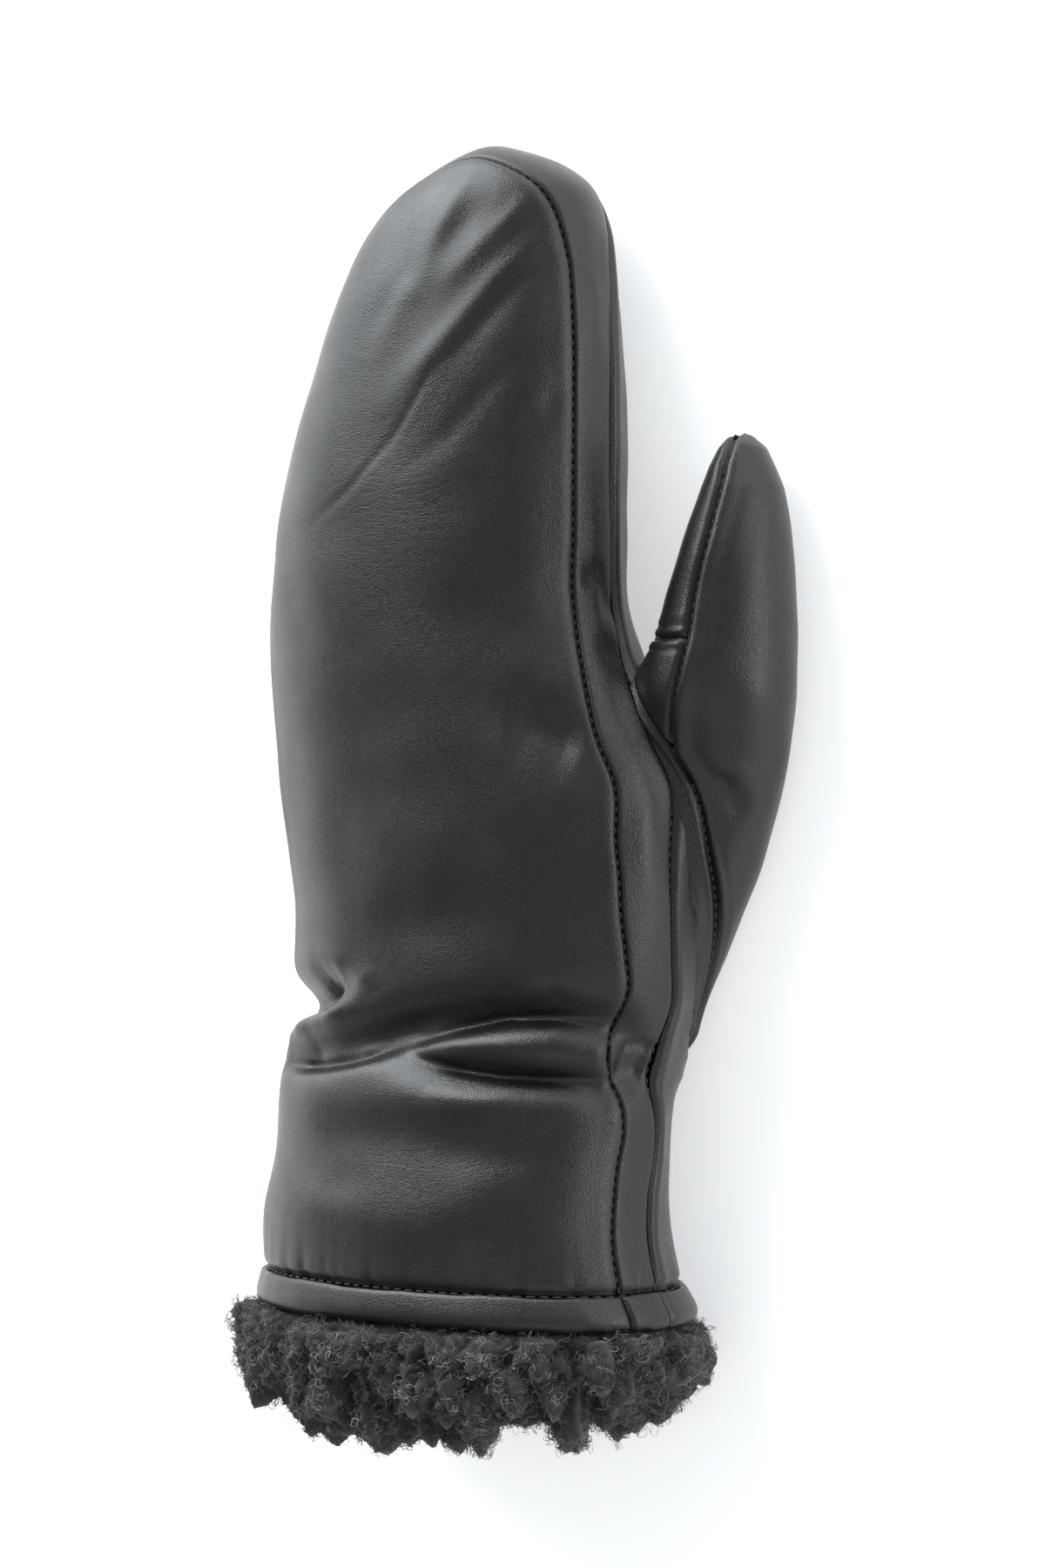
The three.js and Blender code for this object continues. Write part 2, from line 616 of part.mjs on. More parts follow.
const innerRows = thumbRows.filter((row) => row.high * THUMB_HEIGHT / 2 > LEATHER + 2.5);
const innerTip = { ...THUMB[THUMB.length - 1] };
innerTip.at -= (LEATHER + 0.4) / SHELL_LENGTH;
const lower = { ...THUMB[0], at: THUMB[0].at - 0.003 };
const thumbInner = toManifold(loft([
  thumbRing(lower, LEATHER, THUMB_FLOOR),
  ...innerRows.map((row) => thumbRing(row, LEATHER, THUMB_FLOOR)),
  thumbRing(innerTip, LEATHER, THUMB_FLOOR),
]));
const thumbShell = thumbOuter.subtract(thumbInner);

// Upright volumes on either side of the thumb's lengthwise seam.
const seamX = (at) => thumbCentre(Math.min(at, 0.744)) + tableValue(THUMB_SEAM, at) * THUMB_WIDTH;
const seamStations = [
  0.19, 0.40, 0.425, 0.435, 0.443, 0.450, 0.456, 0.462, 0.470, 0.485, 0.50, 0.54, 0.58, 0.62,
  0.66, 0.70, 0.73, 0.79,
];
const seamPath = seamStations.map((at) => new THREE.Vector2(seamX(at), at * SHELL_LENGTH));
const sideVolume = (fromAt, toAt, side) => {
  const line = [];
  seamPath.forEach((here, n) => {
    const before = seamPath[Math.max(0, n - 1)];
    const after = seamPath[Math.min(seamPath.length - 1, n + 1)];
    const along = after.clone().sub(before).normalize();
    const across = new THREE.Vector2(along.y, -along.x);
    const place = here.clone().addScaledVector(across, side * half);
    if (place.y > fromAt * SHELL_LENGTH && place.y < toAt * SHELL_LENGTH) line.push(place);
  });
  const edgeAt = (at) => new THREE.Vector2(seamX(at) + side * half, at * SHELL_LENGTH);
  line.unshift(edgeAt(fromAt));
  line.push(edgeAt(toAt));
  const far = side > 0 ? 160 : -60;
  const end = new THREE.Vector2(far, toAt * SHELL_LENGTH);
  const start = new THREE.Vector2(far, fromAt * SHELL_LENGTH);
  const shape = new THREE.Shape([...line, end, start]);
  const geometry = new THREE.ExtrudeGeometry(shape, { depth: 120, bevelEnabled: false });
  geometry.translate(0, 0, -40);
  geometry.deleteAttribute('normal');
  geometry.deleteAttribute('uv');
  return toManifold(mergeVertices(geometry, 1e-4));
};
const gapShare = SEAM_GAP / SHELL_LENGTH;
const setIn = (at) => tableValue(SET_IN, at) * THUMB_WIDTH;
const outsideSeam = shellVolume((at) => -setIn(at) - half);
const insideSeam = shellVolume((at) => -setIn(at) + half);
const shellMiddle = shellVolume(() => LEATHER / 2);
const thumbFree = thumbShell.subtract(outsideSeam);
const thumbBack = thumbFree.intersect(sideVolume(0.19, 0.79, 1));
const thumbFront = thumbFree.intersect(sideVolume(CROTCH_TOP + gapShare / 2, 0.79, -1));
const thumbCrotch = thumbFree.intersect(sideVolume(0.19, CROTCH_TOP - gapShare / 2, -1));

// The palm reaches a little way up the thumb's root, to the set-in seam; it stays clear of the strip.
const clearGrid = stripGrid.map((row, i) => {
  return steps(STRIP_COLUMNS).map((f) => stripPlace(palmEdge[i], backEdge[i], f, i));
});
const clearOfStrip = toManifold(panel(clearGrid, -9, 9, (x, y, depth) => skin(x, y, depth, depth)));
const rootCollar = thumbShell.intersect(insideSeam).subtract(shellMiddle).subtract(clearOfStrip);
const palmPanel = toManifold(panel(palmGrid, 0, LEATHER)).subtract(thumbInner).add(rootCollar);

// Hem: four lengths of folded leather round the wrist opening.
const hemTopAt = HEM_HEIGHT / SHELL_LENGTH;
const hemPiece = (from, to, columns) => {
  const low = stationOf(0);
  const high = stationOf(hemTopAt);
  const inset2 = half / 46;
  const grid = [low, high].map((v) => {
    return steps(columns).map((f) => polar(v, mix(from + inset2, to - inset2, f)));
  });
  return panel(grid, -HEM_PROUD, HEM_THICKNESS - HEM_PROUD);
};
const hemAngle = (table) => radians(tableValue(table, hemTop));
const backAngle = hemAngle(BACK_SEAM);
const palmAngle = hemAngle(PALM_SEAM);

// Pile: a soft roll below the hem that runs on inside as the lining, in one piece, and its curls.
const liningTop = LINING_DEPTH / SHELL_LENGTH;
const hemInner = HEM_THICKNESS - HEM_PROUD + LINING_CLEARANCE;
const liningOuter = LEATHER + LINING_CLEARANCE;
const liningInner = liningOuter + PILE_THICKNESS;
const insideRows = shellRows.filter((i) => i > 0 && shares[i] < liningTop);
// The pile hangs a little less at the two sides.
const hang = (at, angle) => (at < 0 ? at * (1 - PILE_SIDE_RISE * Math.cos(angle) ** 4) : at);
const ringAt = (at, depth, index = 0) => {
  return ringAngles(index).map((c) => {
    const angle = Math.atan2(c[1], c[0]);
    const v = stationOf(hang(at, angle));
    const place = polar(v, angle);
    return skin(place[0], place[1], depth, Math.max(0, depth));
  });
};
const below = (drop) => -drop * PILE_DROP / SHELL_LENGTH;
const profile = [
  ...insideRows.map((i) => ringAt(shares[i], liningOuter, i)).reverse(),
  ringAt(hemTop, hemInner),
  ringAt(below(0.014), hemInner),
  ringAt(below(0.05), -0.55 * PILE_BULGE),
  ringAt(below(0.22), -PILE_BULGE),
  ringAt(below(0.48), -PILE_BULGE),
  ringAt(below(0.72), -0.45 * PILE_BULGE),
  ringAt(below(0.90), 0.25 * PILE_ROLL),
  ringAt(below(1.00), 0.65 * PILE_ROLL),
  ringAt(below(0.80), 0.95 * PILE_ROLL),
  ringAt(below(0.50), PILE_ROLL),
  ringAt(0.01, liningInner + 2.0),
  ...insideRows.filter((i) => i % 2 === 1).map((i) => ringAt(shares[i], liningInner, i)),
  ringAt(shares[insideRows[insideRows.length - 1]], liningInner, insideRows[insideRows.length - 1]),
];
// Repeatable scatter for the curls.
const scatter = (n) => {
  const s = Math.sin(n * 12.9898 + 4.1) * 43758.5453;
  return s - Math.floor(s);
};
let pile = toManifold(ringSolid(profile));
const CURL_ROWS = [
  { drop: 0.27, depth: 0.00 },
  { drop: 0.58, depth: 0.15 },
  { drop: 0.82, depth: 1.35 },
];
CURL_ROWS.forEach((row, r) => {
  for (let n = 0; n < LOCK_COLUMNS; n += 1) {
    const seed = r * LOCK_COLUMNS + n;
    const angle = (n + 0.5 * (r % 2) + 0.4 * scatter(seed)) * 2 * Math.PI / LOCK_COLUMNS;
    const drop = below(row.drop + 0.12 * (scatter(seed + 200) - 0.5));
    const v = stationOf(hang(drop, angle));
    const place = polar(v, angle);
    const centre = skin(place[0], place[1], row.depth * PILE_BULGE);
    const size = LOCK_SIZE * (0.8 + 0.4 * scatter(seed + 400));
    const curl = new THREE.IcosahedronGeometry(size, 0);
    curl.deleteAttribute('normal');
    curl.deleteAttribute('uv');
    curl.rotateX(scatter(seed + 600) * 3);
    curl.rotateY(scatter(seed + 800) * 3);
    curl.translate(centre.x, centre.y, centre.z);
    const blob = mergeVertices(curl, 1e-4);
    const p = blob.attributes.position;
    for (let k = 0; k < p.count; k += 1) {
      p.setZ(k, rest(p.getZ(k), 0, 0.5));
      p.setY(k, Math.min(p.getY(k), -0.5));
    }
    if (centre.z > 0.8 * LOCK_SIZE) pile = pile.add(toManifold(blob));
  }
});

const mitten = new THREE.Group();
const addPiece = (name, geometry, material) => {
  const mesh = new THREE.Mesh(geometry, material);
  mesh.name = name;
  mitten.add(mesh);
};
addPiece('back_panel', panel(backGrid, 0, LEATHER), leatherLook(0x24282b));
addPiece('side_gusset', panel(stripGrid, 0, LEATHER), leatherLook(0x23272a));
addPiece('palm_panel', toGeometry(palmPanel), leatherLook(0x22262a));
addPiece('thumb_back', toGeometry(thumbBack), leatherLook(0x25292c));
addPiece('thumb_front', toGeometry(thumbFront), leatherLook(0x24282b));
addPiece('thumb_crotch', toGeometry(thumbCrotch), leatherLook(0x22262a));
addPiece('hem_back', hemPiece(backAngle, Math.PI - backAngle, 14), leatherLook(0x26292b));
addPiece('hem_outer_side', hemPiece(Math.PI - backAngle, Math.PI - palmAngle, 3), leatherLook(0x26292b));
addPiece('hem_palm', hemPiece(-Math.PI - palmAngle, palmAngle, 12), leatherLook(0x26292b));
addPiece('hem_thumb_side', hemPiece(palmAngle, backAngle, 3), leatherLook(0x26292b));
addPiece('pile_cuff', toGeometry(pile), pileLook);

// The origin lies under the middle of the object, on the surface that it rests on.
const box = new THREE.Box3().setFromObject(mitten);
const middle = box.getCenter(new THREE.Vector3());
mitten.position.set(-middle.x, -middle.y, -box.min.z);
const group = new THREE.Group();
group.add(mitten);

export default group;
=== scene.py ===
"""Lined leather mitten for the left hand, lying palm down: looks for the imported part."""

import functools
import math

import bmesh
import bpy
import numpy as np
from bpy.props import FloatProperty, FloatVectorProperty, IntProperty, PointerProperty
from bpy.types import Operator, Panel, PropertyGroup
from mathutils import Matrix, Vector


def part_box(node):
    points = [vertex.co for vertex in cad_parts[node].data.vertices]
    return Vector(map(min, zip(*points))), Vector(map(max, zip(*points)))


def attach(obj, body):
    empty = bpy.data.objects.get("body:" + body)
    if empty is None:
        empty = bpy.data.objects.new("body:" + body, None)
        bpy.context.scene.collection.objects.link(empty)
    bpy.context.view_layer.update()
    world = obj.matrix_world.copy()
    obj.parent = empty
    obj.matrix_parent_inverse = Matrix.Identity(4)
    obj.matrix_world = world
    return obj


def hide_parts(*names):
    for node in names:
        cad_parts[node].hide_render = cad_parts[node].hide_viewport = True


bl_info = {
    "name": "Leather mitten",
    "version": (1, 0, 0),
    "blender": (4, 5, 0),
    "location": "View3D > Sidebar > Mitten",
    "description": "Builds a pile-lined leather mitten over its solid frame",
    "category": "Object",
}

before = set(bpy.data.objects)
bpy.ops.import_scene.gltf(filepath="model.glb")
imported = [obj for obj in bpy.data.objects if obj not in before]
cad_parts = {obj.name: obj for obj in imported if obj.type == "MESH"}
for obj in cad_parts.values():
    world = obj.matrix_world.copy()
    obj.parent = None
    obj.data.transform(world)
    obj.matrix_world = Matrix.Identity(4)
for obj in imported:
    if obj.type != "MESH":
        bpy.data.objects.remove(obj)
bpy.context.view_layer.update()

# The shell's shape, in mm
MM = 0.001
SHELL_LENGTH = 286.0
PALM_WIDTH = 103.0
PALM_THICKNESS = 56.0
SECTION_POWER = 2.2
REST_SOFTNESS = 3.0
THUMB_WIDTH = 42.0
THUMB_HEIGHT = 35.0
HEM_HEIGHT = 8.4
# The shell's own origin lies at its hem; the frame's lies under the middle of the object.
THUMB_EDGE = 86.118
ORIGIN = np.array([
    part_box("thumb_back")[1].x / MM - THUMB_EDGE,
    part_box("side_gusset")[1].y / MM - SHELL_LENGTH,
    0.0,
])

# share of length, left and right shares of the palm's width, top and bottom shares of its thickness
SECTIONS = np.array([
    (0.000, -0.529, 0.626, 1.215, -0.055),
    (0.030, -0.526, 0.596, 1.215, -0.055),
    (0.080, -0.529, 0.558, 1.195, -0.055),
    (0.140, -0.512, 0.548, 1.145, -0.055),
    (0.200, -0.514, 0.563, 1.090, -0.055),
    (0.260, -0.506, 0.592, 1.040, -0.055),
    (0.320, -0.493, 0.610, 1.020, -0.060),
    (0.390, -0.518, 0.607, 1.018, -0.070),
    (0.460, -0.550, 0.583, 1.018, -0.070),
    (0.530, -0.566, 0.492, 1.018, -0.070),
    (0.600, -0.569, 0.406, 1.015, -0.070),
    (0.670, -0.553, 0.396, 1.000, -0.070),
    (0.740, -0.512, 0.397, 0.970, -0.055),
    (0.800, -0.461, 0.391, 0.930, -0.035),
    (0.850, -0.412, 0.377, 0.890, -0.010),
    (0.893, -0.362, 0.362, 0.848, 0.020),
    (0.930, -0.296, 0.343, 0.800, 0.060),
    (0.960, -0.205, 0.305, 0.745, 0.125),
    (0.982, -0.095, 0.222, 0.670, 0.200),
    (0.996, 0.008, 0.118, 0.570, 0.310),
    (1.000, 0.064, 0.064, 0.445, 0.445),
])

# Seams on the thumb side: share of length, angle in degrees.
BACK_SEAM = np.array([
    (0.000, 18), (0.063, 17.5), (0.104, 16), (0.133, 15), (0.162, 13.5), (0.191, 17),
    (0.215, 23.5), (0.236, 26), (0.280, 23), (0.308, 25.5), (0.343, 28), (0.378, 28.5),
    (0.406, 29), (0.449, 27.5), (0.486, 29), (0.523, 26.5), (0.552, 23.5), (0.596, 19),
    (0.670, 18), (0.742, 19.5), (0.816, 20), (0.889, 21), (0.920, 25.5),
])
PALM_SEAM = np.array([
    (0.000, 0.5), (0.059, 0.5), (0.109, -1.5), (0.138, -4), (0.167, -3), (0.198, 1.5),
    (0.241, 1), (0.270, -0.5), (0.307, 2.5), (0.344, 4), (0.389, 4), (0.414, 3),
    (0.448, 2), (0.486, 5.5), (0.536, 4), (0.598, -3), (0.671, -3), (0.745, -2),
    (0.819, -4), (0.895, -11), (0.920, -17),
])
# The seams over the fingertip, on a flat chart centred on the tip:
# across, back, palm, back on the outer side.
TIP_SEAMS = np.array([
    (0.165, 0.0920, -0.078, 0.0780),
    (0.128, 0.0935, -0.085, 0.0820),
    (0.092, 0.0950, -0.090, 0.0860),
    (0.056, 0.0935, -0.092, 0.0885),
    (0.025, 0.0905, -0.093, 0.0890),
    (0.000, 0.0880, -0.093, 0.0880),
])

# Large folds: path of (share of length, angle), depth and width in mm.
FOLDS = [
    ([(0.214, 152), (0.218, 132), (0.225, 115), (0.237, 99), (0.250, 86), (0.260, 69)], 5.6, 4.8),
    ([(0.251, 84), (0.260, 67), (0.260, 46), (0.250, 27), (0.238, 8)], 4.2, 4.8),
    ([(0.226, 94), (0.215, 79), (0.209, 63), (0.206, 47), (0.201, 23), (0.206, 4)], 3.6, 4.4),
    ([(0.252, 190), (0.256, 165), (0.260, 145), (0.264, 130), (0.271, 120), (0.280, 113)], 8.4, 5.5),
    ([(0.240, 150), (0.247, 133), (0.256, 119), (0.263, 110)], -3.3, 3.6),
    ([(0.480, 36), (0.497, 46), (0.511, 56)], 2.0, 9.0),
    ([(0.130, 165), (0.140, 120), (0.160, 80), (0.165, 50), (0.160, 20)], 0.8, 8.0),
    ([(0.493, 150), (0.492, 175)], 0.7, 7.0),
]
# Finer creases and ridges that only the looks need.
CREASES = [
    # wrist: sharp creases inside the broad folds, and the rim round the pit beside them
    ([(0.208, 152), (0.208, 137), (0.210, 124), (0.219, 104), (0.232, 91)], 3.0, 1.6),
    ([(0.230, 94), (0.248, 79), (0.257, 65), (0.257, 48), (0.252, 32)], 2.2, 1.6),
    ([(0.227, 92), (0.216, 79), (0.210, 63), (0.207, 47), (0.204, 30)], 2.4, 1.4),
    ([(0.259, 150), (0.263, 132), (0.269, 121), (0.279, 114)], 1.6, 1.9),
    ([(0.304, 128), (0.297, 114), (0.285, 105), (0.273, 101)], -0.9, 3.2),
    ([(0.230, 84), (0.236, 68), (0.236, 50)], -0.5, 3.0),
    ([(0.262, 58), (0.272, 51), (0.288, 47)], 0.6, 2.6),
    ([(0.192, 52), (0.188, 68), (0.193, 82)], -0.6, 3.4),
    ([(0.226, 30), (0.220, 21), (0.214, 12)], 1.4, 2.4),
    ([(0.206, 24), (0.202, 14), (0.206, 4)], 1.2, 1.8),
    ([(0.250, 24), (0.244, 15), (0.236, 6)], 1.0, 1.8),
    # cuff
    ([(0.180, 150), (0.178, 116), (0.186, 88), (0.184, 56), (0.176, 30)], -0.7, 5.5),
    ([(0.104, 150), (0.098, 120), (0.090, 86), (0.097, 58), (0.102, 28)], -0.9, 8.0),
    ([(0.148, 84), (0.140, 60), (0.146, 38)], 0.5, 4.0),
    ([(0.122, 128), (0.112, 106), (0.116, 90)], 0.6, 5.0),
    ([(0.075, 74), (0.085, 58), (0.084, 40)], 0.5, 5.0),
    # palm side of the back seam, halfway up the hand
    ([(0.486, 30), (0.493, 41), (0.506, 51), (0.524, 60)], 0.45, 5.0),
    ([(0.480, 33), (0.468, 44), (0.448, 56)], 0.35, 7.0),
    ([(0.497, 33), (0.520, 40), (0.545, 44)], -0.5, 5.0),
    ([(0.360, 66), (0.340, 86), (0.338, 104)], 0.5, 7.0),
    ([(0.420, 108), (0.400, 90), (0.398, 74)], -0.5, 9.0),
    ([(0.330, 60), (0.318, 50), (0.300, 44)], 0.5, 5.0),
    # fingertips: soft ridges that fan out from the seam, and a thin crease across the back
    ([(0.928, 27), (0.910, 37), (0.872, 58), (0.832, 73), (0.798, 85), (0.760, 92)], -0.8, 3.8),
    ([(0.950, 36), (0.935, 50), (0.905, 66), (0.870, 82)], -0.6, 3.4),
    ([(0.980, 80), (0.944, 85), (0.898, 88), (0.858, 94), (0.806, 98)], -0.8, 4.4),
    ([(0.955, 62), (0.925, 76), (0.885, 92), (0.840, 106)], 0.5, 4.5),
    ([(0.905, 32), (0.875, 48), (0.840, 62), (0.800, 74)], 0.6, 4.0),
    ([(0.846, 56), (0.800, 78), (0.744, 88), (0.704, 99), (0.686, 108), (0.665, 121)], 0.30, 0.8),
    ([(0.820, 40), (0.780, 58), (0.742, 70), (0.712, 86)], 0.35, 3.0),
    ([(0.790, 24), (0.760, 34), (0.735, 46)], 0.4, 4.0),
    ([(0.640, 128), (0.600, 116), (0.560, 110)], 0.4, 9.0),
    ([(0.700, 62), (0.640, 58), (0.590, 62)], -0.4, 12.0),
]
STRIP_CREASES = [
    ([(0.890, 4), (0.850, 6), (0.800, 8)], -0.6, 4.5),
    ([(0.630, 2), (0.622, 14)], 0.8, 3.2),
    ([(0.598, -4), (0.606, 6)], 0.7, 2.6),
    ([(0.560, 2), (0.566, 16)], 0.6, 3.6),
    ([(0.700, 6), (0.600, 8), (0.540, 14)], -0.5, 4.0),
    ([(0.470, 14), (0.400, 16), (0.330, 14)], -0.5, 4.6),
    ([(0.222, 26), (0.216, 12), (0.211, 0)], 3.4, 5.0),
    ([(0.232, 22), (0.234, 10), (0.228, 0)], 1.4, 1.8),
]

# Thumb: share of length, centre across and up, half width and half height, all as shares.
THUMB = np.array([
    (0.2035, 0.438, 0.277, 0.333, 0.429),
    (0.2289, 0.438, 0.240, 0.452, 0.514),
    (0.2584, 0.442, 0.218, 0.548, 0.571),
    (0.2882, 0.468, 0.200, 0.595, 0.629),
    (0.3181, 0.498, 0.196, 0.643, 0.669),
    (0.3478, 0.530, 0.202, 0.690, 0.697),
    (0.3775, 0.563, 0.211, 0.738, 0.726),
    (0.4070, 0.586, 0.220, 0.786, 0.754),
    (0.4364, 0.606, 0.230, 0.833, 0.789),
    (0.4657, 0.616, 0.246, 0.905, 0.846),
    (0.4949, 0.625, 0.273, 0.962, 0.937),
    (0.5240, 0.638, 0.293, 0.981, 1.000),
    (0.5530, 0.657, 0.295, 0.892, 1.000),
    (0.5821, 0.673, 0.286, 0.798, 0.937),
    (0.6112, 0.681, 0.282, 0.740, 0.880),
    (0.6402, 0.692, 0.279, 0.657, 0.829),
    (0.6692, 0.700, 0.271, 0.573, 0.726),
    (0.6983, 0.706, 0.264, 0.462, 0.583),
    (0.7167, 0.703, 0.255, 0.362, 0.469),
    (0.7314, 0.700, 0.248, 0.266, 0.343),
    (0.7403, 0.694, 0.243, 0.147, 0.183),
    (0.7440, 0.692, 0.241, 0.000, 0.000),
])
SET_IN = np.array([
    (0.00, 0.6), (0.225, 0.6), (0.245, 1.4), (0.275, 3.2), (0.320, 5.0), (0.360, 6.0),
    (0.440, 6.0), (0.480, 4.8), (0.510, 3.0), (0.540, 1.6), (0.575, 0.9), (1.00, 0.9),
])
LAST = len(SECTIONS) - 1

# Places along the thumb, in shares of the shell's length
ROOT_END = 0.242  # end of its pointed root
CROTCH_START = 0.440  # first row of the crotch gusset
FREE_START = 0.445  # from here it stands free of the palm
LONG_START = 0.452  # start of its lengthwise seam
CROTCH_TOP = 0.573  # upper seam of the crotch gusset
EVEN_START = 0.592  # from here its inner piece has evenly spaced rows
COLLAR_END = 0.60  # end of the palm's collar
LONG_END = 0.742  # end of the lengthwise seam, at the tip

# Radii that turn angles into lengths along the surface, in mm
FOLD_RADIUS = 44.0
THUMB_FOLD_RADIUS = 15.0
GATHER_RADIUS = 46.0
HEM_RADIUS = 52.0

# Other lengths, in mm
WELD = 0.03  # points of a sheet that lie closer than this are one
PALM_REACH = 5.0  # how far the palm's leather runs on under the thumb's seam
COLLAR_REACH = 4.5  # how far its collar does
THUMB_ROW = 3.1  # from the thumb's seams to their rows of stitches
COLLAR_ROW = 2.4  # from the thumb's seam to the row of stitches on the collar
FRONT_ROW = 2.6  # from the crotch gusset's upper seam to the row above it
# Stitches above the hem are longer than those of the seams
HEM_STITCH_SCALE = 3.2 / 2.5


def spline(p0, p1, p2, p3, f):
    """Smooth curve from p1 to p2, at a share f of the way."""
    return 0.5 * (
        2 * p1
        + (p2 - p0) * f
        + (2 * p0 - 5 * p1 + 4 * p2 - p3) * f**2
        + (3 * p1 - 3 * p2 + p3 - p0) * f**3
    )


def table_value(table, place):
    """Smooth value of a table's later columns at a place in its first column."""
    keys = table[:, 0]
    place = np.clip(np.asarray(place, float), keys[0], keys[-1])
    i = np.clip(np.searchsorted(keys, place, side="right") - 1, 0, len(keys) - 2)
    f = (place - keys[i]) / (keys[i + 1] - keys[i])
    rows = table[:, 1:]
    f = f[..., None]
    value = spline(
        rows[np.maximum(i - 1, 0)], rows[i], rows[i + 1], rows[np.minimum(i + 2, len(keys) - 1)], f
    )
    return value[..., 0] if rows.shape[1] == 1 else value


def padded_sections():
    """The sections with one more row at each end, so that the tip closes roundly."""
    first = 2 * SECTIONS[0] - SECTIONS[1]
    at, left, right, top, bottom = SECTIONS[-2]
    return np.vstack([first, SECTIONS, (at, right, left, bottom, top)])


PADDED = padded_sections()


def section_at(v):
    """Section values at a chart distance from the hem."""
    k = np.clip(v * LAST, 0, LAST - 1e-9)
    i = np.floor(k).astype(int)
    s = spline(PADDED[i], PADDED[i + 1], PADDED[i + 2], PADDED[i + 3], (k - i)[..., None])
    below = v < 0
    s[..., 0] = np.where(below, v * LAST * (SECTIONS[1, 0] - SECTIONS[0, 0]), s[..., 0])
    return s


STATION_V = np.linspace(0, 1, 4001)
STATION_AT = section_at(STATION_V)[:, 0]


def station_of(at):
    """Chart distance of a share of the shell's length."""
    at = np.asarray(at, float)
    below = at / (LAST * (SECTIONS[1, 0] - SECTIONS[0, 0]))
    return np.where(at < 0, below, np.interp(at, STATION_AT, STATION_V))


def chart_point(x, y):
    """A point of the smooth shell on the flat chart, whose centre is the fingertip."""
    v = 1 - np.hypot(x, y)
    u = np.arctan2(y, x)
    s = section_at(v)
    cos, sin = np.cos(u), np.sin(u)
    power = 2 / SECTION_POWER
    px = (s[..., 1] + s[..., 2]) + (s[..., 2] - s[..., 1]) * np.sign(cos) * np.abs(cos) ** power
    pz = (s[..., 3] + s[..., 4]) + (s[..., 3] - s[..., 4]) * np.sign(sin) * np.abs(sin) ** power
    return np.stack([px * PALM_WIDTH / 2, s[..., 0] * SHELL_LENGTH, pz * PALM_THICKNESS / 2], -1)


def unit(vectors):
    """Vectors of length one."""
    return vectors / np.maximum(np.linalg.norm(vectors, axis=-1, keepdims=True), 1e-12)


def chart_normal(x, y, e=0.004):
    """Outward direction of the smooth shell."""
    across = chart_point(x + e, y) - chart_point(x - e, y)
    along = chart_point(x, y + e) - chart_point(x, y - e)
    return unit(np.cross(along, across))


def polyline_distance(px, py, path):
    """Distance to a path, and the share of the path at which it is reached."""
    best = np.full(px.shape, 1e9)
    where = np.zeros(px.shape)
    parts = len(path) - 1
    for i in range(parts):
        (ax, ay), (bx, by) = path[i], path[i + 1]
        length = (bx - ax) ** 2 + (by - ay) ** 2
        f = np.clip(((px - ax) * (bx - ax) + (py - ay) * (by - ay)) / length, 0, 1)
        distance = np.hypot(px - ax - f * (bx - ax), py - ay - f * (by - ay))
        closer = distance < best
        best = np.where(closer, distance, best)
        where = np.where(closer, (i + f) / parts, where)
    return best, where


def fold_depth(at, u, folds, start=0.25):
    """How far a list of folds presses the surface in."""
    total = np.zeros(at.shape)
    px, py = u * FOLD_RADIUS, at * SHELL_LENGTH
    for path, depth, width in folds:
        line = [(math.radians(a) * FOLD_RADIUS, s * SHELL_LENGTH) for s, a in path]
        distance, where = polyline_distance(px, py, line)
        taper = np.minimum(1, np.minimum(start + 3 * where, start + 3 * (1 - where)))
        total += depth * taper * np.exp(-((distance / width) ** 2))
    return total


def waves(p, size, seed):
    """Soft, uneven swells between about -1 and 1 over points p, of a given size in mm."""
    rng = np.random.default_rng(seed)
    total = np.zeros(p.shape[:-1])
    for _ in range(9):
        way = unit(rng.normal(size=3))
        turn = rng.uniform(0, 2 * math.pi)
        total += np.sin((p @ way) * 2 * math.pi / (size * rng.uniform(0.7, 1.6)) + turn)
    return total / 4.0


def rest_on_floor(z, level=0.0, softness=REST_SOFTNESS):
    """Heights pressed flat where they would go below a level."""
    h = z - level
    soft = (h + softness) ** 2 / (4 * softness)
    return level + np.where(h <= -softness, 0, np.where(h >= softness, h, soft))


def round_angle(x, y):
    """Angle round the hand, from -90 to 270 degrees."""
    u = np.arctan2(y, x)
    return np.where(u < -math.pi / 2, u + 2 * math.pi, u)


def thumb_rows(at):
    """Centre and half sizes of the thumb, in mm."""
    t = table_value(THUMB, at)
    return (
        t[..., 0] * PALM_WIDTH,
        t[..., 1] * PALM_THICKNESS,
        np.maximum(t[..., 2], 0) * THUMB_WIDTH / 2,
        np.maximum(t[..., 3], 0) * THUMB_HEIGHT / 2,
    )


def thumb_clearance(p):
    """Signed distance from points to the thumb's surface, positive outside it."""
    at = p[..., 1] / SHELL_LENGTH
    cx, cz, a, b = thumb_rows(at)
    dx, dz = p[..., 0] - cx, p[..., 2] - cz
    a, b = np.maximum(a, 0.5), np.maximum(b, 0.5)
    q = np.maximum(np.hypot(dx / a, dz / b), 1e-6)
    beyond = np.maximum(THUMB[0, 0] - at, 0) + np.maximum(at - THUMB[-1, 0], 0)
    return (q - 1) * np.hypot(dx, dz) / q + beyond * SHELL_LENGTH


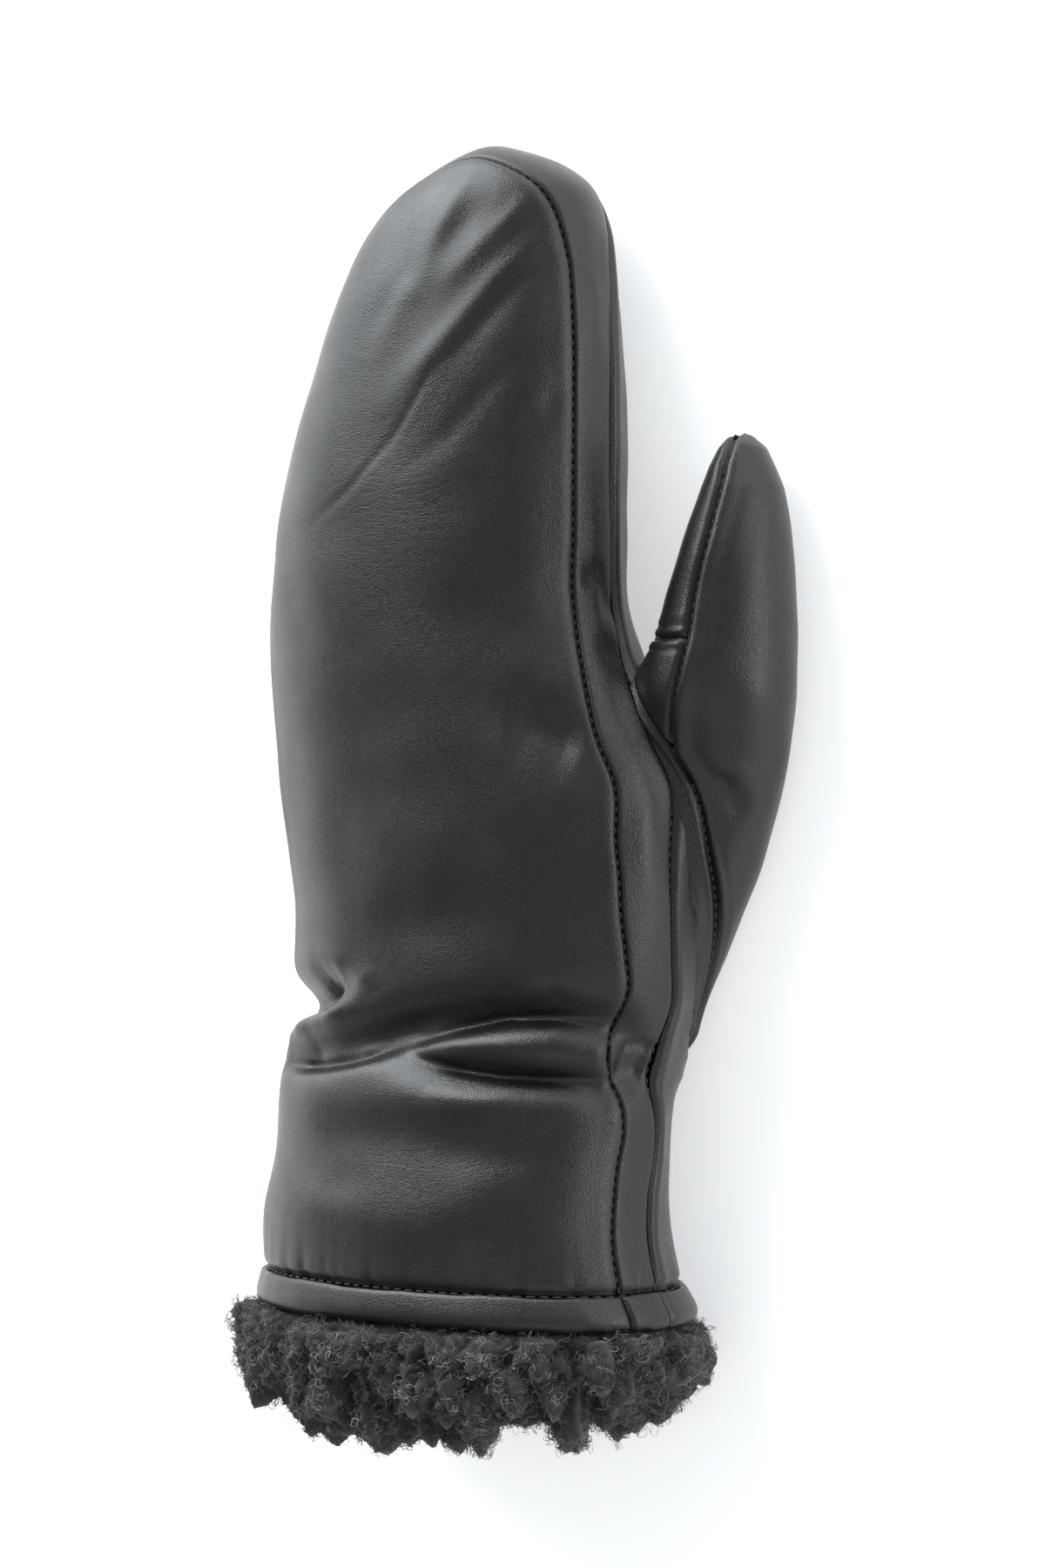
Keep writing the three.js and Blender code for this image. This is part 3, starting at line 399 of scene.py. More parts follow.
def shell_clearance(p):
    """Signed distance from points to the shell's surface, positive outside it."""
    s = section_at(station_of(p[..., 1] / SHELL_LENGTH))
    cx = (s[..., 1] + s[..., 2]) * PALM_WIDTH / 2
    cz = (s[..., 3] + s[..., 4]) * PALM_THICKNESS / 2
    a = np.maximum((s[..., 2] - s[..., 1]) * PALM_WIDTH / 2, 0.5)
    b = np.maximum((s[..., 3] - s[..., 4]) * PALM_THICKNESS / 2, 0.5)
    dx, dz = p[..., 0] - cx, p[..., 2] - cz
    q = (np.abs(dx / a) ** SECTION_POWER + np.abs(dz / b) ** SECTION_POWER) ** (1 / SECTION_POWER)
    q = np.maximum(q, 1e-6)
    return (q - 1) * np.hypot(dx, dz) / q


FILLET = 7.0


def fillet(clearance):
    """How far a surface swells out where the thumb's root and the palm run into each other."""
    return np.maximum(FILLET - np.abs(clearance), 0) ** 2 / (4 * FILLET)


def skin(x, y, lift, creases=(), meets_thumb=False, level=0.0):
    """Points of the shell lifted by a distance from its outer face."""
    point = chart_point(x, y)
    normal = chart_normal(x, y)
    at = point[..., 1] / SHELL_LENGTH
    u = round_angle(x, y)
    out = lift - fold_depth(at, u, FOLDS) - fold_depth(at, u, creases, 0.05)
    out = out + 0.22 * waves(point, 38.0, 5) + 0.10 * waves(point, 15.0, 6)
    if meets_thumb:
        out = out + fillet(thumb_clearance(point))
    point = point + normal * out[..., None]
    point[..., 2] = rest_on_floor(point[..., 2], level)
    return point


def thumb_skin(at, angle, lift, creases=()):
    """Points of the thumb at shares of length and angles round it."""
    cx, cz, a, b = thumb_rows(at)
    cos, sin = np.cos(angle), np.sin(angle)
    point = np.stack([cx + a * cos, at * SHELL_LENGTH, cz + b * sin], -1)
    step = 0.003
    cx1, cz1, a1, b1 = thumb_rows(at + step)
    cx0, cz0, a0, b0 = thumb_rows(at - step)
    along = np.stack(
        [
            cx1 - cx0 + (a1 - a0) * cos,
            np.full(at.shape, 2 * step * SHELL_LENGTH),
            cz1 - cz0 + (b1 - b0) * sin,
        ],
        -1,
    )
    around = np.stack([-np.maximum(a, 0.3) * sin, np.zeros(at.shape), np.maximum(b, 0.3) * cos], -1)
    normal = unit(np.cross(along, around))
    out = lift + fillet(shell_clearance(point))
    out = out - 2.8 * np.clip((ROOT_END - at) / 0.024, 0, 1) ** 1.5
    out = out + 0.2 * waves(point, 34.0, 8) + 0.10 * waves(point, 13.0, 9)
    for path, depth, width in creases:
        line = [(math.radians(q) * THUMB_FOLD_RADIUS, s * SHELL_LENGTH) for s, q in path]
        distance, where = polyline_distance(angle * THUMB_FOLD_RADIUS, at * SHELL_LENGTH, line)
        taper = np.minimum(1, np.minimum(0.2 + 3 * where, 0.2 + 3 * (1 - where)))
        out = out - depth * taper * np.exp(-((distance / width) ** 2))
    point = point + normal * out[..., None]
    point[..., 2] = rest_on_floor(point[..., 2], 0.0, 1.5)
    return point


# Seams on the shell, row by row from the hem to the fingertip.
HEM_TOP = (HEM_HEIGHT + 0.45) / SHELL_LENGTH
EDGE_STEPS = np.array([0.0, 0.35, 0.7, 1.1, 1.6, 2.2, 2.9, 3.8, 5.0])
TIP_STEPS = (4, 8, 7, 6, 6, 5, 5)
# In shares of the shell's length
ROW_STEP = 0.0052  # from row to row
FOLD_ROW_STEP = 0.0024  # the same, where the wrist's folds lie
FOLDS_START, FOLDS_END = 0.190, 0.300
TIP_ROW = 0.897  # last row below the fingertip


def shell_rows():
    """Shares of the shell's length at which rows of points lie, below the fingertip."""
    near_hem = HEM_TOP + EDGE_STEPS / SHELL_LENGTH
    return np.concatenate([
        near_hem,
        np.arange(near_hem[-1] + ROW_STEP, FOLDS_START, ROW_STEP),
        np.arange(FOLDS_START, FOLDS_END, FOLD_ROW_STEP),
        np.arange(FOLDS_END, TIP_ROW - 0.003, ROW_STEP),
        [TIP_ROW],
    ])


ROWS = shell_rows()


def polar(at, degrees, outer=False):
    """Chart place of a share of the length and an angle; on the far side the angle is mirrored."""
    u = np.radians(degrees)
    u = math.pi - u if outer else u
    radius = 1 - station_of(at)
    return np.stack([radius * np.cos(u), radius * np.sin(u)], -1)


def seam_line(table, column, outer=False):
    """Chart places of a seam from the hem to the middle of the fingertip."""
    sign = -1 if outer else 1
    near = (0.870, TIP_ROW, 0.920)
    control = [polar(a, table_value(table, a), outer) for a in near]
    tips = TIP_SEAMS[:, [0, 3 if (outer and column == 1) else column]]
    control += [np.array([sign * side, place]) for side, place in tips]
    other = 1 if column == 1 else 2
    beyond = TIP_SEAMS[-2, 3 if (column == 1 and not outer) else other]
    control.append(np.array([-sign * TIP_SEAMS[-2, 0], beyond]))
    tip = []
    for i, count in enumerate(TIP_STEPS):
        f = np.arange(1, count + 1)[:, None] / count
        tip.append(spline(control[i], control[i + 1], control[i + 2], control[i + 3], f))
    return np.concatenate([polar(ROWS, table_value(table, ROWS), outer), *tip])


BACK_THUMB = seam_line(BACK_SEAM, 1)
BACK_OUTER = seam_line(BACK_SEAM, 1, outer=True)
PALM_THUMB = seam_line(PALM_SEAM, 2)
PALM_OUTER = seam_line(PALM_SEAM, 2, outer=True)


def wrapped(angle, under):
    """Angles that run on without a break over the back or under the palm."""
    if under:
        return np.where(angle > 0.5, angle - 2 * math.pi, angle)
    return np.where(angle < -math.pi / 2, angle + 2 * math.pi, angle)


def around(a, b, share, under=False):
    """Chart places on arcs about the fingertip from places a to places b."""
    start = wrapped(np.arctan2(a[:, 1], a[:, 0]), under)[:, None]
    end = wrapped(np.arctan2(b[:, 1], b[:, 0]), under)[:, None]
    r0 = np.hypot(a[:, 0], a[:, 1])[:, None]
    r1 = np.hypot(b[:, 0], b[:, 1])[:, None]
    angle = start + (end - start) * share
    radius = r0 + (r1 - r0) * share
    return np.stack([radius * np.cos(angle), radius * np.sin(angle)], -1)


def under_palm(a, b, share):
    """Chart places under the palm."""
    return around(a, b, share, under=True)


def across_strip(a, b, share):
    """Chart places across the side strip: arcs on the sides, straight lines over the fingertip."""
    arcs = around(a, b, share)
    share = np.broadcast_to(share, arcs.shape[:2])[..., None]
    lines = a[:, None] + (b - a)[:, None] * share
    reach = np.hypot(a[:, 0], a[:, 1])
    straight = np.clip((0.26 - reach) / 0.08, 0, 1)[:, None, None]
    return arcs + (lines - arcs) * straight


def shell_point(place):
    """Points of the smooth shell at chart places."""
    return chart_point(place[..., 0], place[..., 1])


def columns_across(a, b, way, point, count):
    """Places between two edges, close together at both, and their distance from each edge."""
    probe_share = np.linspace(0, 1, 49)
    probe = point(way(a, b, probe_share[None]))
    steps = np.linalg.norm(np.diff(probe, axis=1), axis=-1)
    run = np.concatenate([np.zeros((len(steps), 1)), np.cumsum(steps, 1)], 1)
    width = run[:, -1:]
    near = EDGE_STEPS[None] * np.minimum(1, 0.42 * width / EDGE_STEPS[-1])
    inner = np.linspace(0, 1, count + 2)[1:-1][None]
    middle = near[:, -1:] + (width - 2 * near[:, -1:]) * inner
    target = np.concatenate([near, middle, width - near[:, ::-1]], 1)
    share = np.stack([np.interp(t, r, probe_share) for t, r in zip(target, run)])
    return way(a, b, share), target, width - target


def run_along(line):
    """Length run at each point of a line."""
    return np.concatenate([[0], np.cumsum(np.linalg.norm(np.diff(line, axis=0), axis=1))])


def distance_to_line(points, line):
    """Distance from points to a line given by closely spaced points."""
    flat = points.reshape(-1, 3)
    out = np.empty(len(flat))
    for i in range(0, len(flat), 4000):
        part = flat[i:i + 4000]
        gap = part[:, None] - line[None]
        nearest = np.einsum("ijk,ijk->ij", gap, gap).argmin(1)
        best = np.full(len(part), 1e9)
        for step in (-1, 1):
            other = np.clip(nearest + step, 0, len(line) - 1)
            a = line[nearest]
            ab = line[other] - a
            f = np.einsum("ij,ij->i", part - a, ab) / np.maximum((ab**2).sum(1), 1e-9)
            foot = a + ab * np.clip(f, 0, 1)[:, None]
            best = np.minimum(best, np.linalg.norm(part - foot, axis=1))
        out[i:i + 4000] = best
    return out.reshape(points.shape[:-1])


def lip(distance, depth, width, roll):
    """Height of leather beside a seam: it turns down into the seam and rolls up next to it."""
    fall = -depth * np.exp(-((distance / width) ** 2))
    return fall + roll * np.exp(-(((distance - 2.4) / 2.2) ** 2))


def puckers(at, u, seed):
    """Small gathers that run up from the hem."""
    rng = np.random.default_rng(seed)
    run = u * GATHER_RADIUS
    turn = run * 2 * math.pi
    height = (at - HEM_TOP) * SHELL_LENGTH
    gathers = np.zeros(run.shape)
    for _ in range(7):
        gathers += np.sin(turn / rng.uniform(3.6, 8.5) + rng.uniform(0, 6.28) + 0.12 * height)
    swell = 0.55 + 0.45 * np.sin(turn / 47.0 + 1.0) * np.sin(turn / 29.0)
    depth = np.maximum(gathers / 3.0 - 0.2, -0.15) * swell
    return -0.95 * depth * np.exp(-height / 4.6) - 1.3 * np.exp(-((height / 1.5) ** 2))


def grid_faces(rows, columns):
    """Quads of a grid of points."""
    i, j = np.mgrid[: rows - 1, : columns - 1]
    a = i * columns + j
    return np.stack([a, a + 1, a + columns + 1, a + columns], -1).reshape(-1, 4)


def facing(points, faces, outward):
    """Faces turned so that they look along the outward directions of their points."""
    mid = faces[len(faces) // 2 - 40: len(faces) // 2 + 40]
    a, b, c = (points[mid[:, k]] for k in range(3))
    normal = np.cross(b - a, c - a)
    if (normal * outward[mid[:, 0]]).sum() < 0:
        return faces[:, ::-1]
    return faces


def in_frame(points):
    """Own millimetres to the frame's metres."""
    return (np.asarray(points) + ORIGIN) * MM


def make_object(name, points, faces, material, weld=0.0, painted_shading=None):
    """A mesh object from points in own millimetres; the optional per-point values are the pile's
    painted shade and highlight.
    """
    mesh = bpy.data.meshes.new(name)
    mesh.from_pydata(in_frame(points).tolist(), [], [list(map(int, f)) for f in faces])
    if weld:
        edit = bmesh.new()
        edit.from_mesh(mesh)
        bmesh.ops.remove_doubles(edit, verts=edit.verts, dist=weld * MM)
        bmesh.ops.dissolve_degenerate(edit, edges=edit.edges, dist=0.2 * weld * MM)
        loose = [v for v in edit.verts if not v.link_faces]
        bmesh.ops.delete(edit, geom=loose, context="VERTS")
        edit.to_mesh(mesh)
        edit.free()
    if painted_shading is not None:
        layer = mesh.attributes.new("pile_painted_shade", "FLOAT", "POINT")
        layer.data.foreach_set("value", np.asarray(painted_shading, np.float32).reshape(-1))
    mesh.polygons.foreach_set("use_smooth", [True] * len(mesh.polygons))
    mesh.materials.append(material)
    mesh.update()
    piece = bpy.data.objects.new(name, mesh)
    bpy.context.collection.objects.link(piece)
    return piece


def thicken(piece, thickness):
    """Give a sheet its thickness, inward."""
    solid = piece.modifiers.new("Thickness", "SOLIDIFY")
    solid.thickness = thickness
    solid.offset = -1
    solid.use_even_offset = False
    solid.use_quality_normals = True


def place_piece(piece, node, replaced=True):
    """Hang a piece on the frame's root body and hide the solid that it stands for."""
    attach(piece, "root")
    if replaced:
        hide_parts(node)


def leather_sheet(name, parts, shade):
    """A leather piece from one or more grids of points with their outward directions."""
    points, faces, start = [], [], 0
    for grid, outward, keep in parts:
        rows, columns = grid.shape[:2]
        flat = grid.reshape(-1, 3)
        quads = facing(flat, grid_faces(rows, columns), outward.reshape(-1, 3))
        if keep is not None:
            inside = keep.reshape(-1)
            quads = quads[inside[quads].any(1)]
        points.append(flat)
        faces.append(quads + start)
        start += len(flat)
    material = leather_material(name, shade)
    piece = make_object(name, np.concatenate(points), np.concatenate(faces), material, WELD)
    thicken(piece, bpy.context.scene.mitten_leather.thickness)
    return piece


# Whole seams: from the hem on the thumb side over the tip to the hem again, as places and points.
BACK_PLACES = np.concatenate([BACK_THUMB, BACK_OUTER[-2::-1]])
PALM_PLACES = np.concatenate([PALM_THUMB, PALM_OUTER[-2::-1]])
BACK_LINE = shell_point(BACK_PLACES)
PALM_LINE = shell_point(PALM_PLACES)


def shell_grid(places, lips, seed, creases=(), meets_thumb=False):
    """Outer face of a piece of the shell, its outward directions and the smooth shell below it."""
    x, y = places[..., 0], places[..., 1]
    base = chart_point(x, y)
    at, u = base[..., 1] / SHELL_LENGTH, round_angle(x, y)
    lift = sum(lip(distance_to_line(base, line), *shape) for line, *shape in lips)
    lift = lift + puckers(at, u, seed)
    return skin(x, y, lift, creases, meets_thumb), chart_normal(x, y), base


def back_grid():
    """Outer face of the back."""
    places, _, _ = columns_across(BACK_THUMB[:-1], BACK_OUTER[:-1], around, shell_point, 90)
    face, outward, _ = shell_grid(places, [(BACK_LINE, 0.75, 0.45, 0.3)], 31, CREASES)
    return face, outward, None


def strip_grid():
    """Outer face of the side strip, up the thumb side, over the tip and down the outer side."""
    places, _, _ = columns_across(PALM_PLACES, BACK_PLACES, across_strip, shell_point, 10)
    lips = [(BACK_LINE, 1.05, 0.55, 0.0), (PALM_LINE, 1.1, 0.7, 0.2)]
    face, outward, _ = shell_grid(places, lips, 32, STRIP_CREASES, meets_thumb=True)
    return face, outward, None


def palm_grid():
    """Outer face of the palm, open where the thumb leaves it."""
    places, _, _ = columns_across(PALM_THUMB[:-1], PALM_OUTER[:-1], under_palm, shell_point, 42)
    lips = [(PALM_LINE, 1.1, 0.75, 0.7)]
    face, outward, base = shell_grid(places, lips, 33, meets_thumb=True)
    return face, outward, thumb_clearance(base) > -PALM_REACH


# Thumb: rings of points, cut by its set-in seam and its lengthwise seam.
THUMB_AT = np.concatenate([
    np.arange(0.216, 0.700, 0.0042),
    0.700 + 0.0439 * np.sin(np.linspace(0, math.pi / 2, 26)),
])
THUMB_SEAM = np.array([
    (0.200, -60), (0.425, -60), (0.448, -34), (0.462, -3), (0.480, -1.0), (0.540, 0.8),
    (0.600, 0.0), (0.660, 0.6), (0.780, 0.4),
])


def thumb_point(place):
    """Points of the smooth thumb at places (share of length, angle)."""
    at, angle = place[..., 0], place[..., 1]
    cx, cz, a, b = thumb_rows(at)
    return np.stack([cx + a * np.cos(angle), at * SHELL_LENGTH, cz + b * np.sin(angle)], -1)


def between(a, b, share):
    """Places on straight lines from places a to places b."""
    share = np.broadcast_to(share, (len(a), share.shape[-1]))[..., None]
    return a[:, None] + (b - a)[:, None] * share


def smooth_rows(values):
    """Values along rows, evened out."""
    padded = np.pad(values, 3, mode="edge")
    weights = np.array([1, 2, 3, 4, 3, 2, 1]) / 16
    return np.convolve(padded, weights, mode="valid")


def crossings(at, limit):
    """Angles up and down the thumb's rings at which they come within a limit of the shell."""
    angle = np.radians(np.linspace(-180, 180, 721))
    place = np.stack(np.broadcast_arrays(at[:, None], angle[None]), -1)
    height = shell_clearance(thumb_point(place)) - limit[:, None]
    front = (angle > -1.2) & (angle < 1.2)
    up, down = np.empty(len(at)), np.empty(len(at))
    for i, row in enumerate(height):
        start = np.where(front)[0][row[front].argmax()]
        if row[start] <= 0:
            up[i] = down[i] = angle[start]
            continue
        after = np.where(row[start:] <= 0)[0]
        before = np.where(row[: start + 1] <= 0)[0]
        up[i], down[i] = math.pi, -math.pi
        if len(after):
            k = start + after[0]
            up[i] = np.interp(0, [row[k], row[k - 1]], [angle[k], angle[k - 1]])
        if len(before):
            k = before[-1]
            down[i] = np.interp(0, [row[k], row[k + 1]], [angle[k], angle[k + 1]])
    return smooth_rows(up), smooth_rows(down)


def seam_angle(at):
    """Angle of the thumb's lengthwise seam on its upper side."""
    _, _, a, _ = thumb_rows(at)
    return np.arccos(np.clip(table_value(THUMB_SEAM, at) / np.maximum(a, 4.0), -1, 1))


SET_UP, SET_DOWN = crossings(THUMB_AT, table_value(SET_IN, THUMB_AT))
IN_UP, IN_DOWN = crossings(THUMB_AT, np.full(len(THUMB_AT), -COLLAR_REACH))
LONG = seam_angle(THUMB_AT)
THUMB_CREASES = [
    ([(0.462, 62), (0.448, 50), (0.434, 40), (0.422, 32)], 1.0, 2.6),
    ([(0.474, 70), (0.462, 48), (0.452, 30)], -0.7, 3.0),
    ([(0.440, 66), (0.420, 56), (0.396, 50)], 0.5, 2.4),
    ([(0.500, 60), (0.540, 44), (0.580, 40)], 0.35, 5.0),
    ([(0.620, 50), (0.660, 38), (0.690, 30)], 0.3, 4.0),
]


def line_at(at, angle):
    """Places with a share of length and an angle for each row."""
    return np.stack([at, angle], -1)


def thumb_grid(at, low, high, count, lift_from):
    """A part of the thumb between two lines of angles, raised by the distance to its edges."""
    places, to_low, to_high = columns_across(
        line_at(at, low), line_at(at, high), between, thumb_point, count
    )
    row, angle = places[..., 0], places[..., 1]
    lift = lift_from(row, to_low, to_high)
    face = thumb_skin(row, angle, lift, THUMB_CREASES)
    return face, thumb_skin(row, angle, lift + 1.0, THUMB_CREASES) - face, None


def topstitch_groove(distance, place=THUMB_ROW, width=0.55, depth=0.5):
    """The dent of a row of stitches beside a seam."""
    return -depth * np.exp(-(((distance - place) / width) ** 2))


def thumb_back_grid():
    """Large outer piece of the thumb, from its pointed root to the tip."""
    high = np.minimum(SET_UP, LONG)
    low = np.maximum(SET_DOWN, -LONG)
    rows = np.where(high - low > 0.02)[0]
    rows = np.arange(rows[0] - 1, len(THUMB_AT))

    def lift(at, to_low, to_high):
        free = np.clip((at - FREE_START) / 0.02, 0, 1) * np.clip((LONG_END - at) / 0.012, 0, 1)
        puffed = lip(to_high, 1.3, 0.9, 0.5 + 0.7 * free) + lip(to_low, 1.2, 0.9, 0.4)
        groove = topstitch_groove(to_high) + topstitch_groove(to_low)
        return puffed + groove * (1 - free)

    return thumb_grid(THUMB_AT[rows], low[rows], high[rows], 40, lift)


def thumb_front_grid():
    """Inner piece of the thumb, from the crotch to the tip."""
    first = CROTCH_TOP + EDGE_STEPS[:-1] / SHELL_LENGTH
    at = np.concatenate([first, THUMB_AT[THUMB_AT > EVEN_START]])
    high = seam_angle(at)

    def lift(at, to_low, to_high):
        edge = (at - CROTCH_TOP) * SHELL_LENGTH
        sides = lip(to_low, 1.5, 1.1, 0.1) + lip(to_high, 1.5, 1.1, 0.1)
        return sides + lip(edge, 0.8, 0.7, 0.3) + topstitch_groove(edge, FRONT_ROW)

    return thumb_grid(at, high, 2 * math.pi - high, 40, lift)


def thumb_crotch_grids():
    """Small gusset between the thumb and the palm, over the crotch."""
    last = CROTCH_TOP - EDGE_STEPS[::-1] / SHELL_LENGTH
    lower_rows = (THUMB_AT > CROTCH_START) & (THUMB_AT < last[0] - 0.002)
    at = np.concatenate([THUMB_AT[lower_rows], last])
    up = np.interp(at, THUMB_AT, SET_UP)
    down = np.interp(at, THUMB_AT, SET_DOWN)
    seam = seam_angle(at)

    def lift_upper(at, to_low, to_high):
        edge = (CROTCH_TOP - at) * SHELL_LENGTH
        closed = np.interp(at, THUMB_AT, SET_UP) > 3.1
        joined = np.where(closed, 0.0, lip(to_high, 0.9, 0.8, 0.2))
        return lip(to_low, 1.5, 1.1, 0.1) + joined + lip(edge, 0.8, 0.7, 0.3) + topstitch_groove(edge)

    def lift_lower(at, to_low, to_high):
        return lift_upper(at, to_high, to_low)

    upper = thumb_grid(at, seam, np.maximum(up, seam), 18, lift_upper)
    lower = thumb_grid(at, np.minimum(down, -seam), -seam, 18, lift_lower)
    return upper, lower


def root_collar_grids():
    """The palm's leather where it runs up the thumb's root to the set-in seam."""
    rows = np.where((SET_UP - SET_DOWN > 0.02) & (THUMB_AT < COLLAR_END))[0]
    at = THUMB_AT[rows]

    def lift_upper(at, to_low, to_high):
        return lip(to_low, 1.1, 0.8, 0.25) + topstitch_groove(to_low, COLLAR_ROW, depth=0.35)

    def lift_lower(at, to_low, to_high):
        return lift_upper(at, to_high, to_low)

    up_in = np.maximum(IN_UP, SET_UP)[rows]
    down_in = np.minimum(IN_DOWN, SET_DOWN)[rows]
    upper = thumb_grid(at, SET_UP[rows], up_in, 8, lift_upper)
    lower = thumb_grid(at, down_in, SET_DOWN[rows], 8, lift_lower)
    return upper, lower


# Hem: a folded band in four lengths.
HEM_PROFILE = np.array([
    (8.45, 0.35), (8.40, -0.30), (8.05, -0.72), (7.40, -0.98), (6.40, -1.26), (5.30, -1.55),
    (4.20, -1.84), (3.10, -2.02), (2.10, -1.98), (1.20, -1.60), (0.50, -0.90), (0.10, 0.00),
    (0.05, 0.75), (0.40, 1.30), (1.10, 1.62), (3.00, 1.70), (5.50, 1.70), (7.60, 1.70),
    (8.25, 1.30),
])


def hem_grid(start, end):
    """Closed band between two angles, with rounded folds."""
    length = abs(end - start) * HEM_RADIUS
    ends = EDGE_STEPS[:-1]
    inner = np.linspace(ends[-1], length - ends[-1], max(4, int(length / 1.3)))
    run = np.concatenate([ends[:-1], inner, length - ends[::-1][1:]])
    angle = start + (end - start) * np.clip(run, 0.1, length - 0.1) / length
    edge = np.minimum(run, length - run)[:, None]
    height, depth = HEM_PROFILE[:, 0][None], HEM_PROFILE[:, 1][None]
    arc = angle[:, None] * GATHER_RADIUS
    sway = 0.35 * np.sin(arc / 7.1 + 0.6) + 0.25 * np.sin(arc / 3.3) + 0.12 * np.sin(arc / 1.3)
    outer = np.clip((0.6 - depth) / 1.6, 0, 1)
    proud = -depth + outer * (0.16 * sway - 0.9 * np.exp(-((edge / 0.9) ** 2)))
    at = (height + 0.45 * sway * (height / HEM_HEIGHT)) / SHELL_LENGTH
    place_v = station_of(at)
    u = np.broadcast_to(angle[:, None], place_v.shape)
    x, y = (1 - place_v) * np.cos(u), (1 - place_v) * np.sin(u)
    return skin(x, y, proud, level=np.maximum(-proud, 0))


def closed_tube(grid):
    """Points and faces of a tube whose rows are rings, closed at both ends."""
    rows, count = grid.shape[:2]
    i, j = np.mgrid[: rows - 1, :count]
    a = i * count + j
    b = i * count + (j + 1) % count
    quads = np.stack([a, b, b + count, a + count], -1).reshape(-1, 4)
    faces = quads.tolist()
    faces.append(list(range(count))[::-1])
    faces.append(list(range((rows - 1) * count, rows * count)))
    return grid.reshape(-1, 3), faces


# Pile: a lumpy ring that hangs below the hem and runs on inside as the lining.
PILE_PROFILE = np.array([
    (76.0, 2.4), (40.0, 2.4), (12.0, 2.4), (1.2, 2.3), (-0.5, 1.4), (-1.7, -1.2), (-4.2, -3.0),
    (-8.5, -3.9), (-13.0, -3.4), (-17.0, -1.2), (-20.0, 2.2), (-21.2, 6.0), (-20.6, 9.6),
    (-17.0, 12.0), (-10.0, 12.0), (0.0, 10.8), (10.0, 9.4), (34.0, 8.3), (76.0, 8.3),
])
PILE_COLUMNS = 380
# How far in from the hem, in mm, the pile is seen and modelled finely
PILE_SHOWN = 13.0
PILE_FINE = 14.0
LOBES = 26
# The pile hangs less at the sides, as a share, and is tucked in on the thumb side, in mm.
PILE_SIDE_RISE = 0.34
THUMB_SIDE_TUCK = 5.0
# Deeper in than these first two lengths, in mm, the lining makes room for the wrist's folds.
FOLD_ROOM_START, FOLD_ROOM_RAMP, FOLD_ROOM = 36.0, 14.0, 5.0


def closed_curve(table, fine=1.0, coarse=6.0):
    """Points along a closed smooth curve, close together where it shows."""
    count = len(table)
    dense = []
    for i in range(count):
        p = [table[(i + k) % count] for k in (-1, 0, 1, 2)]
        dense.append(spline(*p, np.linspace(0, 1, 40, endpoint=False)[:, None]))
    dense = np.concatenate(dense)
    out = [dense[0]]
    for point in dense[1:]:
        step = fine if point[0] < PILE_FINE else coarse
        if np.linalg.norm(point - out[-1]) >= step:
            out.append(point)
    return np.array(out)


def grid_normals(grid):
    """Directions that look out of a ring-shaped grid."""
    along = np.roll(grid, -1, 0) - np.roll(grid, 1, 0)
    across = np.roll(grid, -1, 1) - np.roll(grid, 1, 1)
    return unit(np.cross(along, across))


def scattered(points, spacing, rng):
    """Some of the points, no two closer than a spacing."""
    chosen = np.empty((0, 3))
    for point in points[rng.permutation(len(points))]:
        if not len(chosen) or ((chosen - point) ** 2).sum(1).min() > spacing**2:
            chosen = np.vstack([chosen, point])
    return chosen


def nearest_centre(points, centres):
    """Index of and distance to the nearest centre for each point."""
    index = np.empty(len(points), int)
    distance = np.empty(len(points))
    for i in range(0, len(points), 3000):
        gap = points[i:i + 3000, None] - centres[None]
        square = np.einsum("ijk,ijk->ij", gap, gap)
        index[i:i + 3000] = square.argmin(1)
        distance[i:i + 3000] = np.sqrt(square.min(1))
    return index, distance


def lobe_bumps(place, whole, rng):
    """Height from 0 to 1 and length in mm of the large lobes round the ring, at places along it."""
    width = rng.uniform(8.5, 15.0, LOBES)
    edges = np.concatenate([[0], np.cumsum(width)]) / width.sum() * whole
    length = rng.uniform(0.5, 6.5, LOBES)
    place = place % whole
    index = np.clip(np.searchsorted(edges, place, side="right") - 1, 0, LOBES - 1)
    half = (edges[index + 1] - edges[index]) / 2
    share = np.abs(place - edges[index] - half) / half
    return np.clip(1 - share**2.2, 0, 1) ** 0.6, length[index]


